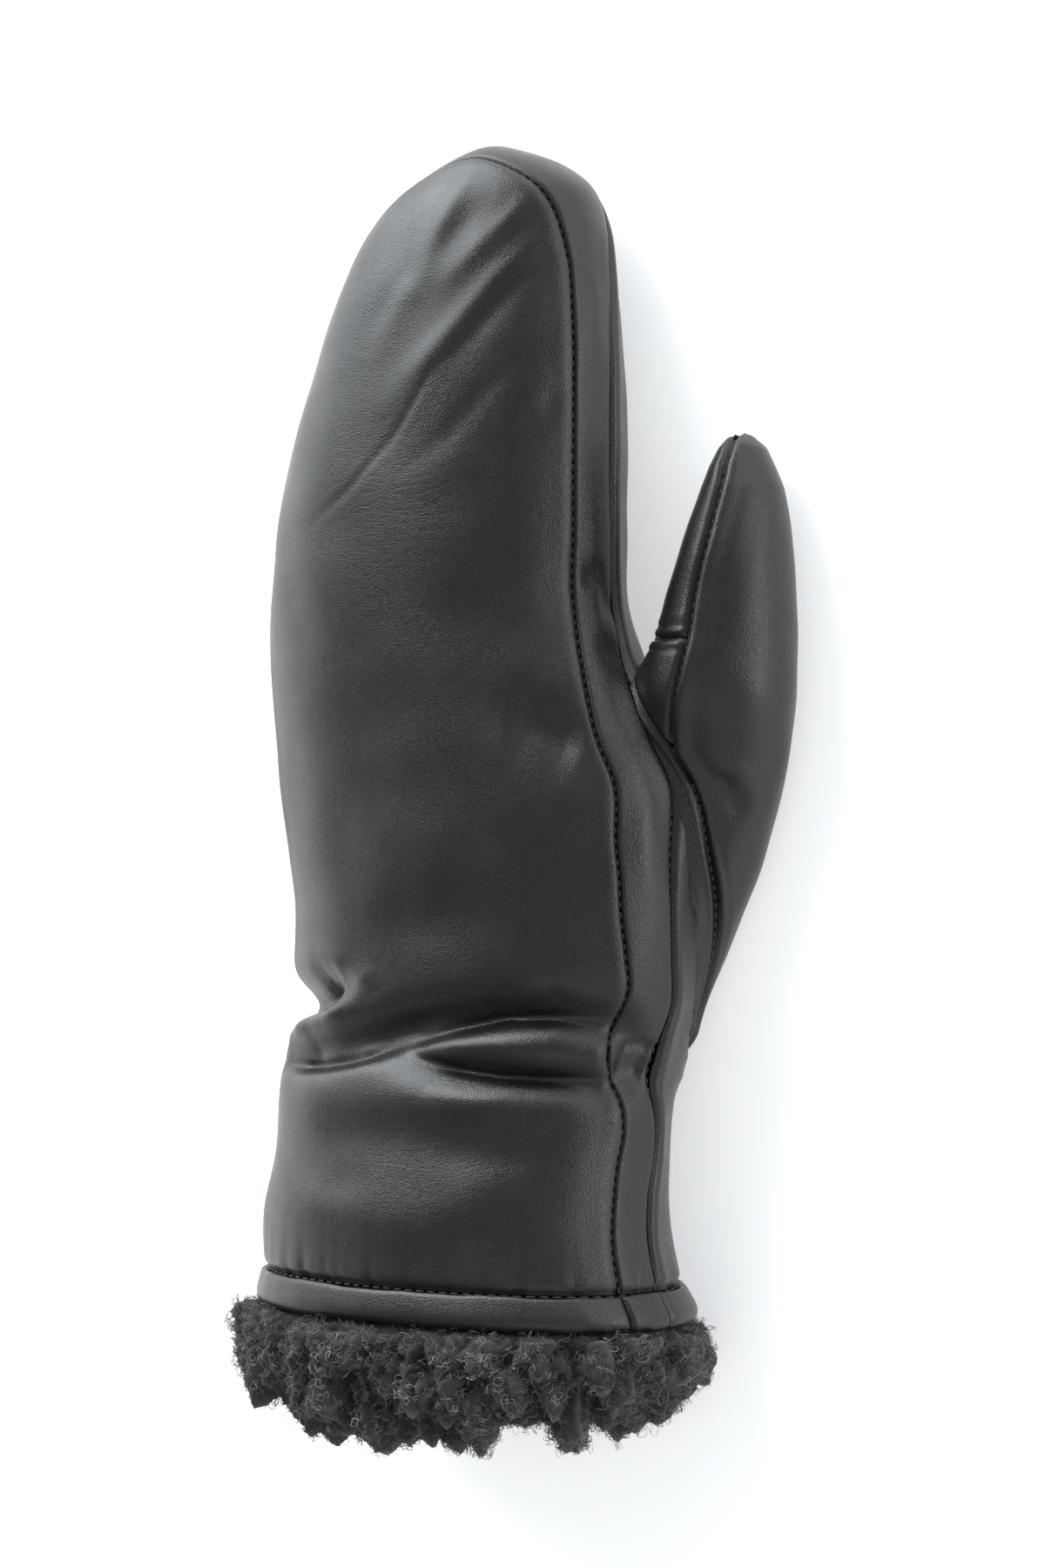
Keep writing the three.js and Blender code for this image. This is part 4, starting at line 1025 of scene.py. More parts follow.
@functools.cache
def pile_surface(spacing, height):
    """The pile's lumpy surface as a grid of rings, with directions, clumps, levels and painted
    shading: darker in hollows, under the hem and inside, lighter on clump tops.
    """
    rng = np.random.default_rng(71)
    profile = closed_curve(PILE_PROFILE)
    at = (profile[:, 0] / SHELL_LENGTH)[:, None]
    depth = profile[:, 1][:, None]
    fine = np.linspace(0, 2 * math.pi, 2001)
    hem = shell_point(polar(np.zeros(len(fine)), np.degrees(fine)))
    run = run_along(hem)
    place = np.arange(PILE_COLUMNS) / PILE_COLUMNS * run[-1]
    u = np.interp(place, run, fine)[None]
    hanging = np.where(at < 0, at * (1 - PILE_SIDE_RISE * np.abs(np.cos(u)) ** 3), at)
    radius = 1 - station_of(hanging)
    x, y = radius * np.cos(u), radius * np.sin(u)
    tuck = THUMB_SIDE_TUCK * np.maximum(np.cos(u), 0) ** 2 * np.clip(-profile[:, :1] / 3.0, 0, 1)
    room = FOLD_ROOM * np.clip((profile[:, :1] - FOLD_ROOM_START) / FOLD_ROOM_RAMP, 0, 1)
    base = skin(x, y, -depth - tuck - room, level=np.maximum(depth, 0))
    outward = grid_normals(base)
    middle = base.mean(axis=(0, 1))
    row = int(np.argmin(profile[:, 1]))
    if ((base[row] - middle) * outward[row]).sum() < 0:
        outward = -outward
    flat = base.reshape(-1, 3)
    level = np.repeat(profile[:, 0], PILE_COLUMNS)
    low = np.repeat(profile[:, 1], PILE_COLUMNS)
    showing = np.where(level < PILE_SHOWN)[0]
    warp = np.stack([waves(flat, 7.5, 80 + k) for k in range(3)], -1)
    clumps = scattered(flat[showing], spacing, rng)
    size = rng.uniform(0.45, 1.45, len(clumps))
    index, near = nearest_centre(flat + 2.2 * warp, clumps)
    dome = np.clip(1 - (near / (0.72 * spacing)) ** 2, 0, 1) ** 0.65 * size[index]
    tufts = scattered(flat[showing][::2], 0.38 * spacing, rng)
    tuft_size = rng.uniform(0.3, 1.4, len(tufts))
    tuft, tuft_near = nearest_centre(flat + 0.7 * warp[:, ::-1], tufts)
    knob = np.clip(1 - (tuft_near / (0.31 * spacing)) ** 2, 0, 1) ** 0.6 * tuft_size[tuft]
    under_hem = np.clip((-0.4 - level) / 4.0, 0.12, 1)
    inside = np.clip((level + 6) / 20.0, 0, 1)
    weight = np.where(low > 6.0, 1 - 0.6 * inside, under_hem)
    weight = np.where((low > 1.0) & (low < 4.0) & (level > -2.0), 0.0, weight)
    hang = np.clip((-level - 12.0) / 8.0, 0, 1)
    along = np.tile(place, len(profile)) + 2.4 * warp[:, 0] + 1.5 * np.sin(level / 4.0)
    lobe, length = lobe_bumps(along, run[-1], rng)
    valley = np.clip((-level - 3.0) / 10.0, 0, 1) * (1 - lobe)
    lump = 0.8 * height * dome + 0.5 * height * knob + 0.6 * waves(flat, 3.0, 90)
    lump = weight * (lump * (1 + 0.2 * hang) - 0.3 * height - 3.2 * valley)
    out = flat + outward.reshape(-1, 3) * lump[:, None]
    out[:, 1] -= hang * weight * (lobe * length + 0.8 * dome - 0.5)
    outside = (low < 1.5) & (level < 2.0)
    out[:, 1] = np.where(outside, np.minimum(out[:, 1], -0.25), out[:, 1])
    out[:, 2] = rest_on_floor(out[:, 2], 0.0, 1.0)
    grid = out.reshape(base.shape)
    lumpy = grid_normals(grid)
    lumpy = np.where(((lumpy * outward).sum(-1) < 0)[..., None], -lumpy, lumpy)
    # Painted shade and highlight: the pile's colour is lighter on the tops of clumps and tufts, and
    # darker in the valleys between the lobes, just under the hem and inside the lining, where shade
    # falls.
    tone = np.clip(0.62 * dome + 0.34 * knob - 0.5 * valley, 0, 1) * np.clip(weight + 0.15, 0, 1)
    places = base.shape[:2]
    return grid, lumpy, clumps, level.reshape(places), low.reshape(places), tone.reshape(places)


def ring_faces(rows, columns):
    """Quads of a grid that closes both ways."""
    i, j = np.mgrid[:rows, :columns]
    a = i * columns + j
    b = i * columns + (j + 1) % columns
    c = ((i + 1) % rows) * columns + (j + 1) % columns
    d = ((i + 1) % rows) * columns + j
    return np.stack([a, b, c, d], -1).reshape(-1, 4)


def tubes(paths, radius, sides=3):
    """Points and faces of thin closed tubes along paths, tapering to their tips."""
    count, steps = paths.shape[:2]
    tangent = unit(np.gradient(paths, axis=1))
    side = unit(np.cross(tangent, np.array([0.31, 0.52, 0.79])))
    other = np.cross(tangent, side)
    taper = np.interp(np.linspace(0, 1, steps), [0, 0.1, 0.6, 1], [0.7, 1.0, 0.9, 0.35])
    angle = np.arange(sides) * 2 * math.pi / sides
    ring = (
        side[:, :, None] * np.cos(angle)[None, None, :, None]
        + other[:, :, None] * np.sin(angle)[None, None, :, None]
    )
    thick = radius[:, None, None, None] * taper[None, :, None, None]
    points = paths[:, :, None] + ring * thick
    i, j = np.mgrid[: steps - 1, :sides]
    a = i * sides + j
    b = i * sides + (j + 1) % sides
    one = np.stack([a, b, b + sides, a + sides], -1).reshape(-1, 4)
    start = (np.arange(count) * steps * sides)[:, None, None]
    quads = (one[None] + start).reshape(-1, 4).tolist()
    cap = np.arange(sides)
    roots = (cap[::-1][None] + start[:, 0]).tolist()
    tips = (cap[None] + (steps - 1) * sides + start[:, 0]).tolist()
    return points.reshape(-1, 3), quads + roots + tips


def curl_paths(count, seed, rise, radius, turns):
    """Paths of curled hairs that grow from the pile's surface and lean into their clumps."""
    settings = bpy.context.scene.mitten_pile
    surface = pile_surface(settings.clump_spacing / MM, settings.clump_height / MM)
    grid, outward, clumps, level, low, tone = surface
    rng = np.random.default_rng(seed)
    shows = np.where(low > 6.0, np.clip((12.0 - level) / 12.0, 0.15, 1), 1.0)
    shows = np.where((low > 1.0) & (low < 4.0) & (level > -1.5), 0, shows)
    size = np.linalg.norm(
        np.cross(np.roll(grid, -1, 0) - grid, np.roll(grid, -1, 1) - grid), axis=-1
    )
    shows = np.where(level > PILE_SHOWN, 0.0, shows)
    shows = np.where(grid[..., 2] < 0.3, 0.08, 1.0) * shows
    chance = (size * shows).reshape(-1)
    picked = rng.choice(len(chance), count, p=chance / chance.sum())
    rows, columns = np.unravel_index(picked, grid.shape[:2])
    f, g = rng.random((2, count, 1))
    up = (rows + 1) % grid.shape[0]
    right = (columns + 1) % grid.shape[1]
    root = grid[rows, columns] * (1 - f) * (1 - g) + grid[up, columns] * f * (1 - g)
    root = root + grid[rows, right] * (1 - f) * g + grid[up, right] * f * g
    normal = outward[rows, columns]
    spin = unit(rng.normal(size=(count, 3)))
    first = unit(spin - normal * (spin * normal).sum(1, keepdims=True))
    second = np.cross(normal, first)
    aside_by, up_by = rng.uniform(0.4, 1.0, (count, 1)), rng.uniform(0.3, 1.0, (count, 1))
    loop_side = unit(second * aside_by + normal * up_by)
    index, _ = nearest_centre(root, clumps)
    lean = unit(clumps[index] + normal * 3.0 - root)
    s = np.linspace(0, 1, 7)[None, :, None]
    coil = rng.uniform(*radius, (count, 1, 1))
    turn = rng.uniform(*turns, (count, 1, 1)) * 2 * math.pi
    start = rng.uniform(0, 2 * math.pi, (count, 1, 1))
    tall = rng.uniform(*rise, (count, 1, 1))
    swing = np.cos(start + turn * s) - np.cos(start)
    sway = np.sin(start + turn * s) - np.sin(start)
    path = root[:, None] - 0.25 * normal[:, None]
    path = path + normal[:, None] * tall * np.sin(s * 2.1) + lean[:, None] * 0.8 * s
    path = path + coil * (first[:, None] * swing + loop_side[:, None] * sway)
    outside = (low[rows, columns] < 1.5)[:, None]
    path[..., 1] = np.where(outside, np.minimum(path[..., 1], 1.0), path[..., 1])
    path[..., 2] = np.maximum(path[..., 2], 0.2)
    # Painted shade and highlight: each hair takes the painted shading of the pile where it grows, and
    # gets lighter from its shaded root to its tip.
    own = tone[rows, columns] * rng.uniform(0.6, 1.1, count)
    painted_shading = np.clip(own[:, None] * (0.35 + 0.75 * s[0, :, 0]) + 0.12 * s[0, :, 0], 0, 1)
    return path, painted_shading, rng


# Thread: one small closed stitch after another along a line.
def stitch_run(line, outward, scale=1.0):
    """Stitches along a line of points, a pitch apart."""
    thread = bpy.context.scene.mitten_thread
    length = thread.length / MM * scale
    run = run_along(line)
    count = max(2, int(run[-1] / (thread.pitch / MM * scale)))
    place = (np.arange(count) + 0.5) * run[-1] / count

    def read(values, where):
        return np.stack([np.interp(where, run, values[:, k]) for k in range(3)], -1)

    centre, up = read(line, place), unit(read(outward, place))
    way = unit(read(line, place + 0.4) - read(line, place - 0.4))
    s = np.array([-1, -0.8, -0.35, 0.35, 0.8, 1.0])
    paths = centre[:, None] + way[:, None] * (s * length / 2)[None, :, None]
    paths = paths - up[:, None] * (0.35 * s**2)[None, :, None]
    return paths, np.full(count, thread.diameter / MM / 2)


def seam_stitches(places, lift, creases=(), meets_thumb=False, scale=1.0):
    """Stitches along chart places on the shell."""
    x, y = places[:, 0], places[:, 1]
    line = skin(x, y, np.full(len(x), lift), creases, meets_thumb)
    return stitch_run(line, chart_normal(x, y), scale)


def thumb_stitches(at, angle, lift):
    """Stitches along places on the thumb."""
    line = thumb_skin(at, angle, lift, THUMB_CREASES)
    return stitch_run(line, thumb_skin(at, angle, lift + 1.0, THUMB_CREASES) - line)


def aside(at, angle, distance):
    """Angle moved by a distance in mm along the thumb's ring."""
    _, _, a, b = thumb_rows(at)
    return angle + distance / np.maximum(np.hypot(a * np.sin(angle), b * np.cos(angle)), 3.0)


def thread_piece(name, node, runs):
    """One object for several runs of stitches."""
    paths = np.concatenate([run[0] for run in runs])
    radius = np.concatenate([run[1] for run in runs])
    points, faces = tubes(paths, radius, sides=6)
    points[:, 2] = np.maximum(points[:, 2], 0.05)
    piece = make_object(name, points, faces, thread_material())
    place_piece(piece, node, replaced=False)


# Finishes
def feed(tree, node, values):
    """Set a node's sockets: each gets a number or colour, or a link from another node's socket."""
    for socket, value in values.items():
        if isinstance(value, bpy.types.NodeSocket):
            tree.links.new(value, node.inputs[socket])
        else:
            node.inputs[socket].default_value = value


def add_node(tree, kind, values, **fields):
    """A shader node with its fields and its sockets set."""
    node = tree.nodes.new(f"ShaderNode{kind}")
    for name, value in fields.items():
        setattr(node, name, value)
    feed(tree, node, values)
    return node


def new_group(name, inputs, outputs):
    """A shader node group that takes a vector and named numbers and puts out numbers."""
    group = bpy.data.node_groups.new(name, "ShaderNodeTree")
    group.interface.new_socket("Vector", in_out="INPUT", socket_type="NodeSocketVector")
    for label, default in inputs.items():
        socket = group.interface.new_socket(label, in_out="INPUT", socket_type="NodeSocketFloat")
        socket.default_value = default
    for label in outputs:
        group.interface.new_socket(label, in_out="OUTPUT", socket_type="NodeSocketFloat")
    enter = group.nodes.new("NodeGroupInput")
    leave = group.nodes.new("NodeGroupOutput")
    return group, enter.outputs, leave


def leather_grain_group():
    """Fine pebbled grain with hair-thin wrinkles and slow changes of tone."""
    name = "Leather grain"
    if name in bpy.data.node_groups:
        return bpy.data.node_groups[name]
    group, given, leave = new_group(
        name, {"Pebbles per Metre": 1250.0, "Wrinkle Depth": 0.5}, ("Height", "Tone", "Gloss")
    )
    add = functools.partial(add_node, group)
    place = given["Vector"]

    # pebbles: cells with bent edges
    bend = add("TexNoise", {"Vector": place, "Scale": 420.0, "Detail": 2.0})
    bent = add(
        "VectorMath",
        {0: bend.outputs["Color"], 1: (0.0009, 0.0009, 0.0009), 2: place},
        operation="MULTIPLY_ADD",
    )
    pebbles = add(
        "TexVoronoi",
        {"Vector": bent.outputs["Vector"], "Scale": given["Pebbles per Metre"]},
        feature="DISTANCE_TO_EDGE",
    )
    cells = add(
        "MapRange",
        {"Value": pebbles.outputs["Distance"], "From Max": 0.32},
        interpolation_type="SMOOTHSTEP",
    )

    # wrinkles: thin lines where a stretched noise passes its middle, in patches
    stretch = add("VectorMath", {0: place, 1: (0.7, 1.9, 1.0)}, operation="MULTIPLY")
    lines = add(
        "TexNoise",
        {"Vector": stretch.outputs["Vector"], "Scale": 240.0, "Detail": 3.0, "Roughness": 0.5},
    )
    middle = add("Math", {0: lines.outputs["Fac"], 1: 0.5}, operation="SUBTRACT")
    away = add("Math", {0: middle.outputs["Value"]}, operation="ABSOLUTE")
    thin = add(
        "MapRange",
        {"Value": away.outputs["Value"], "From Max": 0.07, "To Min": 1.0, "To Max": 0.0},
        interpolation_type="SMOOTHSTEP",
    )
    patches = add("TexNoise", {"Vector": place, "Scale": 22.0, "Detail": 3.0})
    patch = add(
        "MapRange",
        {"Value": patches.outputs["Fac"], "From Min": 0.38, "From Max": 0.68},
        interpolation_type="SMOOTHSTEP",
    )
    local = add("Math", {0: thin.outputs["Result"], 1: patch.outputs["Result"]}, operation="MULTIPLY")
    wrinkle = add("Math", {0: local.outputs["Value"], 1: given["Wrinkle Depth"]}, operation="MULTIPLY")
    height = add(
        "Math", {0: cells.outputs["Result"], 1: wrinkle.outputs["Value"]}, operation="SUBTRACT"
    )

    # tone: slow clouds of tone, with painted shade in the hollows between the pebbles; gloss: slow
    # clouds
    cloud = add("TexNoise", {"Vector": place, "Scale": 28.0, "Detail": 5.0, "Roughness": 0.62})
    soft = add("Math", {0: cloud.outputs["Fac"], 1: 0.65}, operation="MULTIPLY")
    tone = add(
        "Math",
        {0: cells.outputs["Result"], 1: 0.35, 2: soft.outputs["Value"]},
        operation="MULTIPLY_ADD",
    )
    polish = add("TexNoise", {"Vector": place, "Scale": 55.0, "Detail": 6.0, "Roughness": 0.7})
    feed(group, leave, {
        "Height": height.outputs["Value"],
        "Tone": tone.outputs["Value"],
        "Gloss": polish.outputs["Fac"],
    })
    return group


def wool_mottle_group():
    """Uneven greys of curled wool, and its fuzzy relief."""
    name = "Wool mottle"
    if name in bpy.data.node_groups:
        return bpy.data.node_groups[name]
    group, given, leave = new_group(name, {"Tufts per Metre": 260.0}, ("Mottle", "Height"))
    tufts = add_node(group, "TexNoise", {
        "Vector": given["Vector"],
        "Scale": given["Tufts per Metre"],
        "Detail": 6.0,
        "Roughness": 0.7,
        "Distortion": 1.2,
    })
    wide = add_node(
        group, "MapRange", {"Value": tufts.outputs["Fac"], "From Min": 0.32, "From Max": 0.68}
    )
    fuzz = add_node(
        group,
        "TexNoise",
        {"Vector": given["Vector"], "Scale": 1900.0, "Detail": 3.0, "Distortion": 2.0},
    )
    feed(group, leave, {"Mottle": wide.outputs["Result"], "Height": fuzz.outputs["Fac"]})
    return group


def base_material(name, group, values):
    """A material with a Principled shader and a placed effect group, fed by object coordinates."""
    material = bpy.data.materials.new(name)
    material.use_nodes = True
    tree = material.node_tree
    place = add_node(tree, "TexCoord", {})
    effect = add_node(
        tree, "Group", {"Vector": place.outputs["Object"], **values}, node_tree=group
    )
    return material, tree.nodes["Principled BSDF"], effect.outputs


def mix_colours(tree, factor, dark, light):
    """A colour between two colours."""
    mix = add_node(
        tree, "Mix", {0: factor, 6: (*dark, 1.0), 7: (*light, 1.0)}, data_type="RGBA"
    )
    return mix.outputs[2]


def relief(tree, height, strength, distance):
    """Normals that give the surface a fine relief."""
    bump = add_node(tree, "Bump", {"Strength": strength, "Distance": distance, "Height": height})
    return bump.outputs["Normal"]


def leather_material(name, shade):
    """Soft gloss black leather."""
    settings = bpy.context.scene.mitten_leather
    material, shader, grain = base_material(f"{name}_leather", leather_grain_group(), {
        "Pebbles per Metre": 1.0 / settings.grain_size,
        "Wrinkle Depth": settings.wrinkle_depth,
    })
    tree = material.node_tree
    light = [channel * shade for channel in settings.colour]
    dark = [channel * 0.55 for channel in light]
    gloss = add_node(tree, "MapRange", {
        "Value": grain["Gloss"],
        "From Min": 0.3,
        "From Max": 0.7,
        "To Min": settings.roughness - 0.05,
        "To Max": settings.roughness + 0.07,
    })
    # Base colour: darker where the grain's tone is low, which holds slow random clouds and painted
    # shade between the pebbles.
    feed(tree, shader, {
        "Base Color": mix_colours(tree, grain["Tone"], dark, light),
        "Roughness": gloss.outputs["Result"],
        "Specular IOR Level": 0.5,
        "Normal": relief(tree, grain["Height"], settings.grain_depth, 0.0002),
    })
    return material


def wool_material(name, dark, light, sheen=0.25):
    """Dull, fuzzy wool between two greys, with a painted highlight where the pile stands up and
    painted shade deep in it.
    """
    material, shader, mottle = base_material(name, wool_mottle_group(), {})
    tree = material.node_tree
    # The pile's painted shade and highlight, stored on the mesh, picks between the dark and the light
    # grey.
    tone = add_node(tree, "Attribute", {}, attribute_name="pile_painted_shade")
    uneven = add_node(
        tree, "Math", {0: mottle["Mottle"], 1: 0.7, 2: 0.5}, operation="MULTIPLY_ADD"
    )
    share = add_node(
        tree,
        "Math",
        {0: tone.outputs["Fac"], 1: uneven.outputs["Value"]},
        operation="MULTIPLY",
        use_clamp=True,
    )
    feed(tree, shader, {
        "Base Color": mix_colours(tree, share.outputs["Value"], dark, light),
        "Roughness": 0.9,
        "Specular IOR Level": 0.2,
        "Sheen Weight": sheen,
        "Sheen Roughness": 0.5,
        "Normal": relief(tree, mottle["Height"], 0.8, 0.0004),
    })
    return material


def thread_material():
    """Black sewing thread with a fine twist."""
    name = "sewing_thread"
    if name in bpy.data.materials:
        return bpy.data.materials[name]
    material, shader, mottle = base_material(name, wool_mottle_group(), {"Tufts per Metre": 1500.0})
    tree = material.node_tree
    light = list(bpy.context.scene.mitten_thread.colour)
    dark = [channel * 0.5 for channel in light]
    feed(tree, shader, {
        "Base Color": mix_colours(tree, mottle["Mottle"], dark, light),
        "Roughness": 0.5,
        "Normal": relief(tree, mottle["Height"], 0.5, 0.0002),
    })
    return material


# Settings that a user may change
class MittenLeather(PropertyGroup):
    """Leather of the shell, the thumb and the hem."""

    colour: FloatVectorProperty(
        name="Leather Colour", description="Main colour of the leather", subtype="COLOR",
        size=3, min=0.0, max=1.0, default=(0.0075, 0.0083, 0.0090),
    )
    roughness: FloatProperty(
        name="Leather Roughness", description="How dull the leather is", subtype="FACTOR",
        min=0.05, max=1.0, default=0.34,
    )
    thickness: FloatProperty(
        name="Leather Thickness", description="Thickness of the leather", subtype="DISTANCE",
        unit="LENGTH", min=0.0005, max=0.003, default=0.0016,
    )
    grain_size: FloatProperty(
        name="Grain Size", description="Width of a pebble of the grain", subtype="DISTANCE",
        unit="LENGTH", min=0.0003, max=0.003, default=0.00065,
    )
    grain_depth: FloatProperty(
        name="Grain Depth", description="Strength of the grain's relief", subtype="FACTOR",
        min=0.0, max=1.0, default=0.22,
    )
    wrinkle_depth: FloatProperty(
        name="Wrinkle Depth", description="Strength of the hair-thin wrinkles", subtype="FACTOR",
        min=0.0, max=2.0, default=0.6,
    )


class MittenPile(PropertyGroup):
    """Curly pile of the cuff and the lining."""

    # Dark end of the wool's painted shading: the colour deep in the pile, in the shade between clumps
    # and at the roots of the hairs.
    dark: FloatVectorProperty(
        name="Dark Wool", description="Colour deep in the pile", subtype="COLOR",
        size=3, min=0.0, max=1.0, default=(0.0064, 0.0067, 0.0073),
    )
    # Light end of the wool's painted shading, reached at the lit tips of the hairs.
    light: FloatVectorProperty(
        name="Light Wool", description="Colour of the lightest hairs", subtype="COLOR",
        size=3, min=0.0, max=1.0, default=(0.150, 0.155, 0.163),
    )
    clump_spacing: FloatProperty(
        name="Clump Spacing", description="Distance between clumps of curls", subtype="DISTANCE",
        unit="LENGTH", min=0.003, max=0.02, default=0.0085,
    )
    clump_height: FloatProperty(
        name="Clump Height", description="How far the clumps stand out", subtype="DISTANCE",
        unit="LENGTH", min=0.001, max=0.01, default=0.0050,
    )
    hairs: IntProperty(
        name="Hairs", description="Number of curled hairs in each dense layer",
        min=100, max=4400, default=3850,
    )


class MittenThread(PropertyGroup):
    """Stitches along the seams."""

    colour: FloatVectorProperty(
        name="Thread Colour", description="Colour of the thread", subtype="COLOR",
        size=3, min=0.0, max=1.0, default=(0.035, 0.036, 0.038),
    )
    pitch: FloatProperty(
        name="Stitch Pitch", description="Distance from stitch to stitch", subtype="DISTANCE",
        unit="LENGTH", min=0.001, max=0.01, default=0.0025,
    )
    length: FloatProperty(
        name="Stitch Length", description="Length of thread that shows", subtype="DISTANCE",
        unit="LENGTH", min=0.0005, max=0.01, default=0.0018,
    )
    diameter: FloatProperty(
        name="Thread Diameter", description="Thickness of the thread", subtype="DISTANCE",
        unit="LENGTH", min=0.0001, max=0.002, default=0.0005,
    )


class MittenStage(PropertyGroup):
    """Floor, light and camera."""

    floor: FloatVectorProperty(
        name="Floor Colour", description="Colour of the floor", subtype="COLOR",
        size=3, min=0.0, max=1.0, default=(0.90, 0.90, 0.90),
    )
    light: FloatProperty(
        name="Light Strength", description="Strength of all lights together", min=0.0, max=10.0,
        default=1.0,
    )
    turn: FloatProperty(
        name="Camera Tilt", description="How far the camera leans to the thumb side",
        subtype="ANGLE", unit="ROTATION", default=math.radians(38.0),
    )
    distance: FloatProperty(
        name="Camera Distance", description="Distance from the camera to the mitten",
        subtype="DISTANCE", unit="LENGTH", min=0.2, max=10.0, default=1.05,
    )


class MITTEN_OT_back_panel(Operator):
    """Add the leather over the back of the hand"""

    bl_idname = "mitten.back_panel"
    bl_label = "Add Back Panel"

    def execute(self, context):
        place_piece(leather_sheet("back_leather", [back_grid()], 1.0), "back_panel")
        return {"FINISHED"}


class MITTEN_OT_side_gusset(Operator):
    """Add the long strip between back and palm"""

    bl_idname = "mitten.side_gusset"
    bl_label = "Add Side Strip"

    def execute(self, context):
        place_piece(leather_sheet("side_leather", [strip_grid()], 0.95), "side_gusset")
        return {"FINISHED"}


class MITTEN_OT_palm_panel(Operator):
    """Add the leather under the hand, with the collar that runs up the thumb's root"""

    bl_idname = "mitten.palm_panel"
    bl_label = "Add Palm Panel"

    def execute(self, context):
        parts = [palm_grid(), *root_collar_grids()]
        place_piece(leather_sheet("palm_leather", parts, 0.92), "palm_panel")
        return {"FINISHED"}


class MITTEN_OT_thumb(Operator):
    """Add the three leather pieces of the thumb"""

    bl_idname = "mitten.thumb"
    bl_label = "Add Thumb"

    def execute(self, context):
        place_piece(leather_sheet("thumb_outer_leather", [thumb_back_grid()], 1.04), "thumb_back")
        place_piece(leather_sheet("thumb_inner_leather", [thumb_front_grid()], 0.98), "thumb_front")
        place_piece(leather_sheet("crotch_leather", thumb_crotch_grids(), 0.92), "thumb_crotch")
        return {"FINISHED"}


class MITTEN_OT_hem(Operator):
    """Add the folded band round the wrist, in four lengths"""

    bl_idname = "mitten.hem"
    bl_label = "Add Hem"

    def execute(self, context):
        back = math.radians(float(table_value(BACK_SEAM, HEM_TOP)))
        palm = math.radians(float(table_value(PALM_SEAM, HEM_TOP)))
        lengths = {
            "hem_back": (back, math.pi - back),
            "hem_outer_side": (math.pi - back, math.pi - palm),
            "hem_palm": (-math.pi - palm, palm),
            "hem_thumb_side": (palm, back),
        }
        for node, (start, end) in lengths.items():
            points, faces = closed_tube(hem_grid(start, end))
            piece = make_object(f"{node}_band", points, faces, leather_material(f"{node}_band", 1.1))
            recalculate(piece)
            place_piece(piece, node)
        return {"FINISHED"}


class MITTEN_OT_stitches(Operator):
    """Add the stitches along every seam"""

    bl_idname = "mitten.stitches"
    bl_label = "Add Stitches"

    def execute(self, context):
        thread_piece("side_stitches", "side_gusset", [
            seam_stitches(BACK_PLACES, -0.75, CREASES),
            seam_stitches(PALM_PLACES, -1.0, STRIP_CREASES, meets_thumb=True),
        ])
        around_hem = polar(np.full(500, HEM_TOP - 0.0008), np.linspace(0, 360, 500))
        thread_piece("hem_stitches", "hem_back", [
            seam_stitches(around_hem, -1.15, scale=HEM_STITCH_SCALE),
        ])
        rows = (THUMB_AT > LONG_START) & (THUMB_AT < LONG_END)
        at, seam = THUMB_AT[rows], LONG[rows]
        root = (SET_UP - SET_DOWN > 0.25) & (THUMB_AT < LONG_START)
        low, up, down = THUMB_AT[root], SET_UP[root], SET_DOWN[root]
        across = np.linspace(LONG.mean(), 2 * math.pi - LONG.mean(), 40)
        level = np.full(40, CROTCH_TOP)
        thread_piece("thumb_stitches", "thumb_back", [
            thumb_stitches(at, seam, -1.0),
            thumb_stitches(at, -seam, -1.0),
            thumb_stitches(low, up, -0.8),
            thumb_stitches(low, aside(low, up, -THUMB_ROW), -0.25),
            thumb_stitches(low, aside(low, up, COLLAR_ROW), -0.1),
            thumb_stitches(low, down, -0.8),
            thumb_stitches(level, across, -0.4),
            thumb_stitches(level + FRONT_ROW / SHELL_LENGTH, across, -0.2),
            thumb_stitches(level - THUMB_ROW / SHELL_LENGTH, across, -0.2),
        ])
        return {"FINISHED"}


class MITTEN_OT_pile(Operator):
    """Add the clumped ring of pile and the lining in one piece"""

    bl_idname = "mitten.pile"
    bl_label = "Add Pile"

    def execute(self, context):
        settings = context.scene.mitten_pile
        surface = pile_surface(settings.clump_spacing / MM, settings.clump_height / MM)
        grid, tone = surface[0], surface[-1]
        # Painted shade: the ring under the hairs only reaches a grey between the dark and light wool,
        # darker than the hairs, for the shade beneath them.
        middle = [(a * 2 + b) / 4 for a, b in zip(settings.dark, settings.light)]
        material = wool_material("pile_wool", settings.dark, middle)
        points, faces = grid.reshape(-1, 3), ring_faces(*grid.shape[:2])
        piece = make_object("pile_ring", points, faces, material, painted_shading=tone)
        recalculate(piece)
        place_piece(piece, "pile_cuff")
        return {"FINISHED"}


